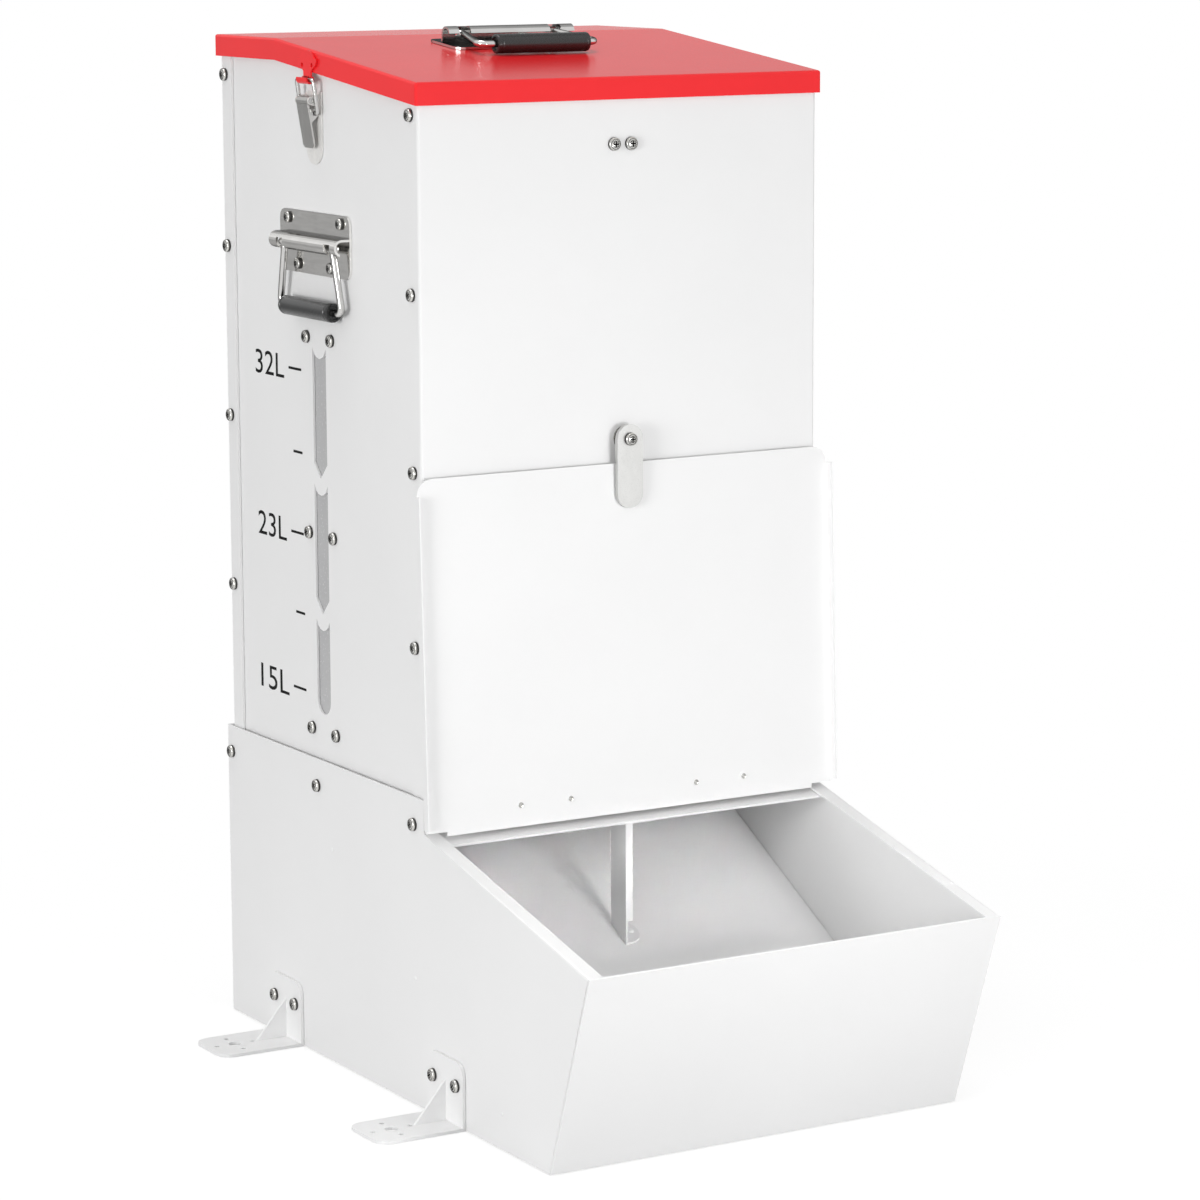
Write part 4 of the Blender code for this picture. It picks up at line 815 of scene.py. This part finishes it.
def add_through_screws():
    """The screws of the window, of the front panel and of the turn button, head to nut."""
    window = through_screw("window_screw", WINDOW_STACK)
    for number in range(1, WINDOW_SCREW_COUNT + 1):
        _, y, z = middle_of(f"window_screw_{number}")
        place = on_side(LEFT, SIDE_FACE, y, z)
        piece = add_screw(f"sight_screw_{number}", place, "feeder", number, window)
        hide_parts(f"window_screw_{number}")
    front = through_screw("front_screw", FRONT_STACK)
    for number in (1, 2):
        x, _, z = middle_of(f"front_screw_{number}")
        place = on_front(x, FRONT_FACE, z)
        piece = add_piece(f"panel_screw_{number}", front, place, "feeder", "zinc_plate")
        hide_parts(f"front_screw_{number}")
    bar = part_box("turn_button")[0][1]
    x, _, z = middle_of("button_screw")
    long_screw = through_screw("button_pivot_screw", FRONT_FACE + PANEL_SHEET - bar)
    place = on_front(x, bar, z)
    piece = add_piece("button_pivot_screw", long_screw, place, "feeder", "zinc_plate")
    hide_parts("button_screw")


def add_cover_rivets():
    mesh = hollow_rivet_mesh()
    tilt = Matrix.Translation(PIVOTS["cover_fold"]) @ Matrix.Rotation(-COVER_LEAN, 4, "X")
    for number in range(1, COVER_RIVET_COUNT + 1):
        x, _, _ = middle_of(f"cover_rivet_{number}")
        place = tilt @ on_front(x, -COVER_FACE, COVER_RIVET_RISE)
        piece = add_piece(f"hollow_rivet_{number}", mesh, place, "cover", "zinc_plate")
        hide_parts(f"cover_rivet_{number}")


for side, word in SIDES.items():
    add_flange_screws(side, word)
    add_base_screws(side, word)
for side, word in SIDES.items():
    add_handle_screws(word, on_side(side, SIDE_FACE, HANDLE_Y, HANDLE_Z), "feeder", -side)
add_handle_screws("lid", on_lid(LID_HANDLE), "lid")
add_through_screws()
add_cover_rivets()


# Drop handles and latches


def grip_mesh():
    """A sleeve with a sunk face and a shallow groove at each end."""
    half = GRIP_LENGTH / 2
    end = [(radius, half - inwards) for radius, inwards in GRIP_END]
    near = [(radius, -along) for radius, along in end]
    return lathe("grip", near + end[::-1], steps=40)


def add_handle(name, pivot, grip_shift):
    """The bail and its grip, on a frame that lies on the bail's axis."""
    body = f"{name}_bail"
    stub = BAIL_TOP_HALF + BAIL_STUB
    foot = (-BAIL_DROP, -BAIL_LEAN)
    points = [
        (-stub, 0, 0),
        (-BAIL_TOP_HALF, 0, 0),
        (-BAIL_FOOT_HALF, *foot),
        (BAIL_FOOT_HALF, *foot),
        (BAIL_TOP_HALF, 0, 0),
        (stub, 0, 0),
    ]
    path = rounded_path(points, (BAIL_STUB_BEND, BAIL_CORNER, BAIL_CORNER, BAIL_STUB_BEND))
    wire = tube(f"{name}_bail", path, BAIL_RADIUS)
    bail = add_piece(f"{name}_bail_wire", wire, pivot, body, "polished_steel")
    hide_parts(f"{name}_handle_bail")
    along_bail = Matrix.Rotation(pi / 2, 4, "Y")
    grip_place = pivot @ Matrix.Translation((grip_shift, *foot)) @ along_bail
    grip = add_piece(f"{name}_grip_sleeve", grip_mesh(), grip_place, body, "black_rubber")
    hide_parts(f"{name}_handle_grip")


def keeper_mesh(name):
    """The plate on the skirt, its neck, and the hook with its lip turned fully up."""
    neck = SKIRT_FOOT + KEEPER_NECK_RISE
    round_centre = LID_AT_LATCH - KEEPER_BELOW_LID - KEEPER_RADIUS
    corner = round_centre + KEEPER_RADIUS * sin(radians(KEEPER_ROUND_FROM))
    half = [(KEEPER_NECK_HALF, HOOK_HEIGHT)]
    half += [(out, neck + rise) for out, rise in KEEPER_SHOULDER]
    half.append((KEEPER_RADIUS, corner))
    angles = (KEEPER_ROUND_FROM, 180 - KEEPER_ROUND_FROM)
    top = arc(0, round_centre, KEEPER_RADIUS, *angles, ROUND_STEPS)
    loops = [half + top + [(-u, v) for u, v in reversed(half)]]
    for sign in (-1, 1):
        centre = (sign * KEEPER_HOLE_SIDE, SKIRT_FOOT + KEEPER_HOLE_RISE)
        loops.append(arc(*centre, KEEPER_HOLE_RADIUS, 0, 360, ROUND_STEPS)[:-1])
    face = KEEPER_FACE - SIDE_FACE
    plate = flat_sheet(name, loops, face - LATCH_SHEET, face)
    inner = LOOP_WIRE + HOOK_PLAY
    outer = inner + LATCH_SHEET
    curl = [(-outer, HOOK_BACK)] + arc(0, 0, outer, 180, 360, HOOK_STEPS)
    curl += [(outer, HOOK_LIP), (inner, HOOK_LIP)]
    curl += arc(0, 0, inner, 360, 180, HOOK_STEPS) + [(-inner, HOOK_BACK)]
    ends = [
        [(u, HOOK_HEIGHT + up, WIRE_OUT + out) for out, up in curl]
        for u in (-HOOK_HALF, HOOK_HALF)
    ]
    return joined(name, [plate, prism(name, *ends)])


def add_latch(side, word):
    """The keeper on the lid's skirt and the wire loop that draws it down."""
    place = on_side(side, SIDE_FACE, LATCH_Y, 0)
    plate = keeper_mesh(f"{word}_keeper")
    keeper = add_piece(f"{word}_keeper_plate", plate, place, "lid", "red_paint")
    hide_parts(f"{word}_keeper")
    points = [
        (-LOOP_PIN_HALF, *LOOP_PIVOT),
        (-LOOP_HALF, *LOOP_PIVOT),
        (-LOOP_HALF, HOOK_HEIGHT, WIRE_OUT),
        (LOOP_HALF, HOOK_HEIGHT, WIRE_OUT),
        (LOOP_HALF, *LOOP_PIVOT),
        (LOOP_PIN_HALF, *LOOP_PIVOT),
    ]
    path = rounded_path(points, (LOOP_PIN_BEND, LOOP_BEND, LOOP_BEND, LOOP_PIN_BEND))
    wire = tube(f"{word}_loop", path, LOOP_WIRE, steps=16)
    loop = add_piece(f"{word}_loop_wire", wire, place, f"{word}_loop", "polished_steel")
    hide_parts(f"{word}_latch_loop")


for side, word in SIDES.items():
    add_handle(word, at_side(side, PIVOTS[f"{word}_bail_swing"]), -side * SIDE_GRIP_SHIFT)
    add_latch(side, word)
add_handle("lid", on_lid(PIVOTS["lid_bail_swing"]), LID_GRIP_SHIFT)


# Litre marks


def add_ticks(kind, place, heights, start):
    for number, height in enumerate(heights, 1):
        name = f"{kind}_tick_{number}"
        bottom, top = height - TICK_HALF, height + TICK_HALF
        corners = ((-start, bottom), (-TICK_END, bottom), (-TICK_END, top), (-start, top))
        low = [(u, v, -MARK_DIP) for u, v in corners]
        high = [(u, v, MARK_LIFT) for u, v in corners]
        add_piece(name, prism(name, low, high), place, "feeder", "black_rubber", INK)


def text_mesh(name, words):
    """Flat letters of Blender's own font, with a half thickness of TEXT_HALF."""
    curve = bpy.data.curves.new(name, "FONT")
    curve.body = words
    curve.extrude = TEXT_HALF
    curve.resolution_u = TEXT_CURVE_STEPS
    helper = bpy.data.objects.new("mark_helper", curve)
    bpy.context.scene.collection.objects.link(helper)
    mesh = evaluated_mesh(helper)
    bpy.data.objects.remove(helper, do_unlink=True)
    mesh.materials.clear()
    return mesh


def add_litres(number, words, height, place):
    """A litre figure, scaled to the size of the marks and centred on its tick's height."""
    mesh = text_mesh(f"mark_{number}", words)
    xs = [vertex.co.x for vertex in mesh.vertices]
    ys = [vertex.co.y for vertex in mesh.vertices]
    middle = (MARK_LIFT - MARK_DIP) / 2
    half = (MARK_LIFT + MARK_DIP) / 2
    for vertex in mesh.vertices:
        across = (vertex.co.x - min(xs)) / (max(xs) - min(xs))
        up = (vertex.co.y - min(ys)) / (max(ys) - min(ys))
        u = across * MARK_WIDTH - MARK_START
        v = up * MARK_HEIGHT + height - MARK_HEIGHT / 2
        vertex.co = (u, v, vertex.co.z / TEXT_HALF * half + middle)
    add_piece(f"litre_mark_{number}", mesh, place, "feeder", "black_rubber", INK)


def add_marks():
    """Ticks and figures on the left side, in a frame whose first axis runs forwards."""
    place = on_side(LEFT, SIDE_FACE, FRONT_FACE, 0)
    add_ticks("long", place, LONG_TICKS, LONG_TICK_START)
    add_ticks("short", place, SHORT_TICKS, SHORT_TICK_START)
    for number, (words, height) in enumerate(zip(MARK_WORDS, LONG_TICKS), 1):
        add_litres(number, words, height, place)


add_marks()


# Floor, light and camera


# Strengths of the studio: its even light, and the walls that only reflections see.
AMBIENT = 0.50
REAR_WALL = 0.60
HORIZON = 0.45
CEILING = 0.15

# Where one wall passes into the next, as parts of the direction looked in.
CEILING_EDGE = (0.18, 0.34)
HORIZON_EDGE = (0.10, 0.20)
LEFT_EDGE = (-0.05, 0.30)
FRONT_EDGE = (-0.2, 0.2)

# The floor. The camera sees a shaded glow near the object that fades to white.
FLOOR_RADIUS = 14.0
FLOOR_DROP = 0.0003
FLOOR_STEPS = 96
FLOOR_TONE = 0.45
SHADOW_TONE = 0.36
FLOOR_GLOW = 0.70
FLOOR_FADE = (0.25, 0.75)
FAR_FLOOR = (0.8, 1.6)

# Three round lamps, and a flat one whose narrow beam reaches into the trough's mouth.
LAMPS = (
    dict(name="front", place=(0.10, -1.10, 0.38), target=(0.02, -0.06, 0.14), size=0.35, power=4.95),
    dict(name="mouth", place=(0.03, -0.92, 0.33), target=(0.02, -0.02, 0.125), size=0.24,
         power=0.018, height=0.02, beam=radians(7)),
    dict(name="left", place=(-3.00, -1.20, 0.60), target=(0, -0.05, 0.15), size=1.2, power=47),
    dict(name="top", place=(-0.20, 0.50, 3.20), target=(0, 0.05, 0.60), size=1.4, power=30),
)

# The camera, and how far it sees.
CAMERA_PLACE = (-1.3311, -2.2672, 0.7607)
CAMERA_YAW = radians(30.493)
CAMERA_PITCH = radians(9.758)
CAMERA_ROLL = radians(0.235)
CAMERA_LENS = 123.85
CAMERA_SENSOR = 36
CAMERA_REACH = 100


def calculated(tree, operation, first, second):
    """Output of a math node on two values, each a number or another node's output."""
    node = tree.nodes.new("ShaderNodeMath")
    node.operation = operation
    for socket, value in zip(node.inputs, (first, second)):
        if isinstance(value, float):
            socket.default_value = value
        else:
            tree.links.new(value, socket)
    return node.outputs[0]


def seen_directly(tree):
    """One for rays from the camera, from a reflection or through something clear, else zero."""
    path = tree.nodes.new("ShaderNodeLightPath")
    value = path.outputs["Is Camera Ray"]
    for kind in ("Is Glossy Ray", "Is Transmission Ray"):
        value = calculated(tree, "MAXIMUM", value, path.outputs[kind])
    return value


def add_world():
    """Soft light from all round. The camera sees plain white, and reflections see white walls.

    Behind the object on the right the walls are greyer, and the ceiling there is dark.
    """
    world = bpy.data.worlds.new("studio")
    bpy.context.scene.world = world
    world.use_nodes = True
    tree = world.node_tree
    tree.nodes.clear()
    direction = tree.nodes.new("ShaderNodeTexCoord")
    parts = tree.nodes.new("ShaderNodeSeparateXYZ")
    tree.links.new(direction.outputs["Generated"], parts.inputs["Vector"])
    ceiling = ramp_between(tree, parts.outputs["Z"], *CEILING_EDGE, REAR_WALL, CEILING)
    left = ramp_between(tree, parts.outputs["X"], *LEFT_EDGE, 1.0, 0.0)
    horizon = ramp_between(tree, parts.outputs["Z"], *HORIZON_EDGE, HORIZON, 1.0)
    front = ramp_between(tree, parts.outputs["Y"], *FRONT_EDGE, 1.0, 0.0)
    left_wall = calculated(tree, "MULTIPLY", left, horizon)
    bright_walls = calculated(tree, "MAXIMUM", left_wall, front)
    room = calculated(tree, "MAXIMUM", ceiling, bright_walls)
    path = tree.nodes.new("ShaderNodeLightPath")
    seen = calculated(tree, "MULTIPLY", seen_directly(tree), room)
    value = calculated(tree, "MAXIMUM", seen, path.outputs["Is Camera Ray"])
    value = calculated(tree, "MAXIMUM", value, AMBIENT)
    sky = add_node(tree, "ShaderNodeBackground", Color=(1, 1, 1, 1))
    tree.links.new(value, sky.inputs["Strength"])
    out = tree.nodes.new("ShaderNodeOutputWorld")
    tree.links.new(sky.outputs[0], out.inputs["Surface"])


def floor_paint():
    """Plain diffuse paint for light, and for what is seen a shaded glow that fades to white."""
    material = bpy.data.materials.new("floor_paint")
    material.use_nodes = True
    tree = material.node_tree
    tree.nodes.clear()
    near = add_node(tree, "ShaderNodeBsdfDiffuse", Color=(FLOOR_TONE, FLOOR_TONE, FLOOR_TONE, 1))
    shaded = add_node(tree, "ShaderNodeBsdfDiffuse", Color=(SHADOW_TONE, SHADOW_TONE, SHADOW_TONE, 1))
    glow = add_node(tree, "ShaderNodeEmission", Color=(1, 1, 1, 1), Strength=FLOOR_GLOW)
    white = add_node(tree, "ShaderNodeEmission", Color=(1, 1, 1, 1))
    both = tree.nodes.new("ShaderNodeAddShader")
    fade = tree.nodes.new("ShaderNodeMixShader")
    blend = tree.nodes.new("ShaderNodeMixShader")
    out = tree.nodes.new("ShaderNodeOutputMaterial")
    place = tree.nodes.new("ShaderNodeTexCoord")
    reach = tree.nodes.new("ShaderNodeVectorMath")
    reach.operation = "LENGTH"
    tree.links.new(place.outputs["Object"], reach.inputs[0])
    parts = tree.nodes.new("ShaderNodeSeparateXYZ")
    tree.links.new(place.outputs["Object"], parts.inputs["Vector"])
    path = tree.nodes.new("ShaderNodeLightPath")
    far = ramp_between(tree, parts.outputs["Y"], *FAR_FLOOR, 1.0, HORIZON)
    strength = calculated(tree, "MAXIMUM", far, path.outputs["Is Camera Ray"])
    tree.links.new(strength, white.inputs["Strength"])
    away = ramp_between(tree, reach.outputs["Value"], *FLOOR_FADE, 0.0, 1.0)
    tree.links.new(away, fade.inputs[0])
    tree.links.new(shaded.outputs[0], both.inputs[0])
    tree.links.new(glow.outputs[0], both.inputs[1])
    tree.links.new(both.outputs[0], fade.inputs[1])
    tree.links.new(white.outputs[0], fade.inputs[2])
    tree.links.new(seen_directly(tree), blend.inputs[0])
    tree.links.new(near.outputs[0], blend.inputs[1])
    tree.links.new(fade.outputs[0], blend.inputs[2])
    tree.links.new(blend.outputs[0], out.inputs["Surface"])
    return material


def add_floor():
    """A pale round floor just below the feet."""
    turns = [2 * pi * step / FLOOR_STEPS for step in range(FLOOR_STEPS)]
    rim = [(FLOOR_RADIUS * cos(turn), FLOOR_RADIUS * sin(turn), -FLOOR_DROP) for turn in turns]
    mesh = bpy.data.meshes.new("floor")
    mesh.from_pydata(rim, [], [tuple(range(FLOOR_STEPS))])
    floor = bpy.data.objects.new("floor", mesh)
    bpy.context.scene.collection.objects.link(floor)
    mesh.materials.append(floor_paint())


def add_lamp(name, place, target, size, power, height=None, beam=pi):
    """A soft round lamp, or with a height a flat one, that shines towards a target."""
    data = bpy.data.lights.new(name, "AREA")
    data.shape = "DISK"
    data.size = size
    if height is not None:
        data.shape = "RECTANGLE"
        data.size_y = height
    data.energy = power
    data.spread = beam
    away = (Vector(place) - Vector(target)).normalized()
    turn = away.to_track_quat("Z", "Y").to_matrix().to_4x4()
    lamp = bpy.data.objects.new(name, data)
    lamp.matrix_world = Matrix.Translation(place) @ turn
    bpy.context.scene.collection.objects.link(lamp)


def add_camera():
    """The photograph's viewpoint and viewing angle."""
    level = cos(CAMERA_PITCH)
    forward = Vector((sin(CAMERA_YAW) * level, cos(CAMERA_YAW) * level, -sin(CAMERA_PITCH)))
    right = Vector((cos(CAMERA_YAW), -sin(CAMERA_YAW), 0))
    down = forward.cross(right)
    across = cos(CAMERA_ROLL) * right + sin(CAMERA_ROLL) * down
    up = across.cross(forward)
    turn = Matrix((across, up, -forward)).transposed().to_4x4()
    data = bpy.data.cameras.new("camera")
    data.sensor_width = CAMERA_SENSOR
    data.lens = CAMERA_LENS
    data.clip_end = CAMERA_REACH
    camera = bpy.data.objects.new("camera", data)
    camera.matrix_world = Matrix.Translation(CAMERA_PLACE) @ turn
    bpy.context.scene.collection.objects.link(camera)
    bpy.context.scene.camera = camera


add_world()
add_floor()
for lamp in LAMPS:
    add_lamp(**lamp)
add_camera()
bpy.context.scene.view_settings.view_transform = "Standard"
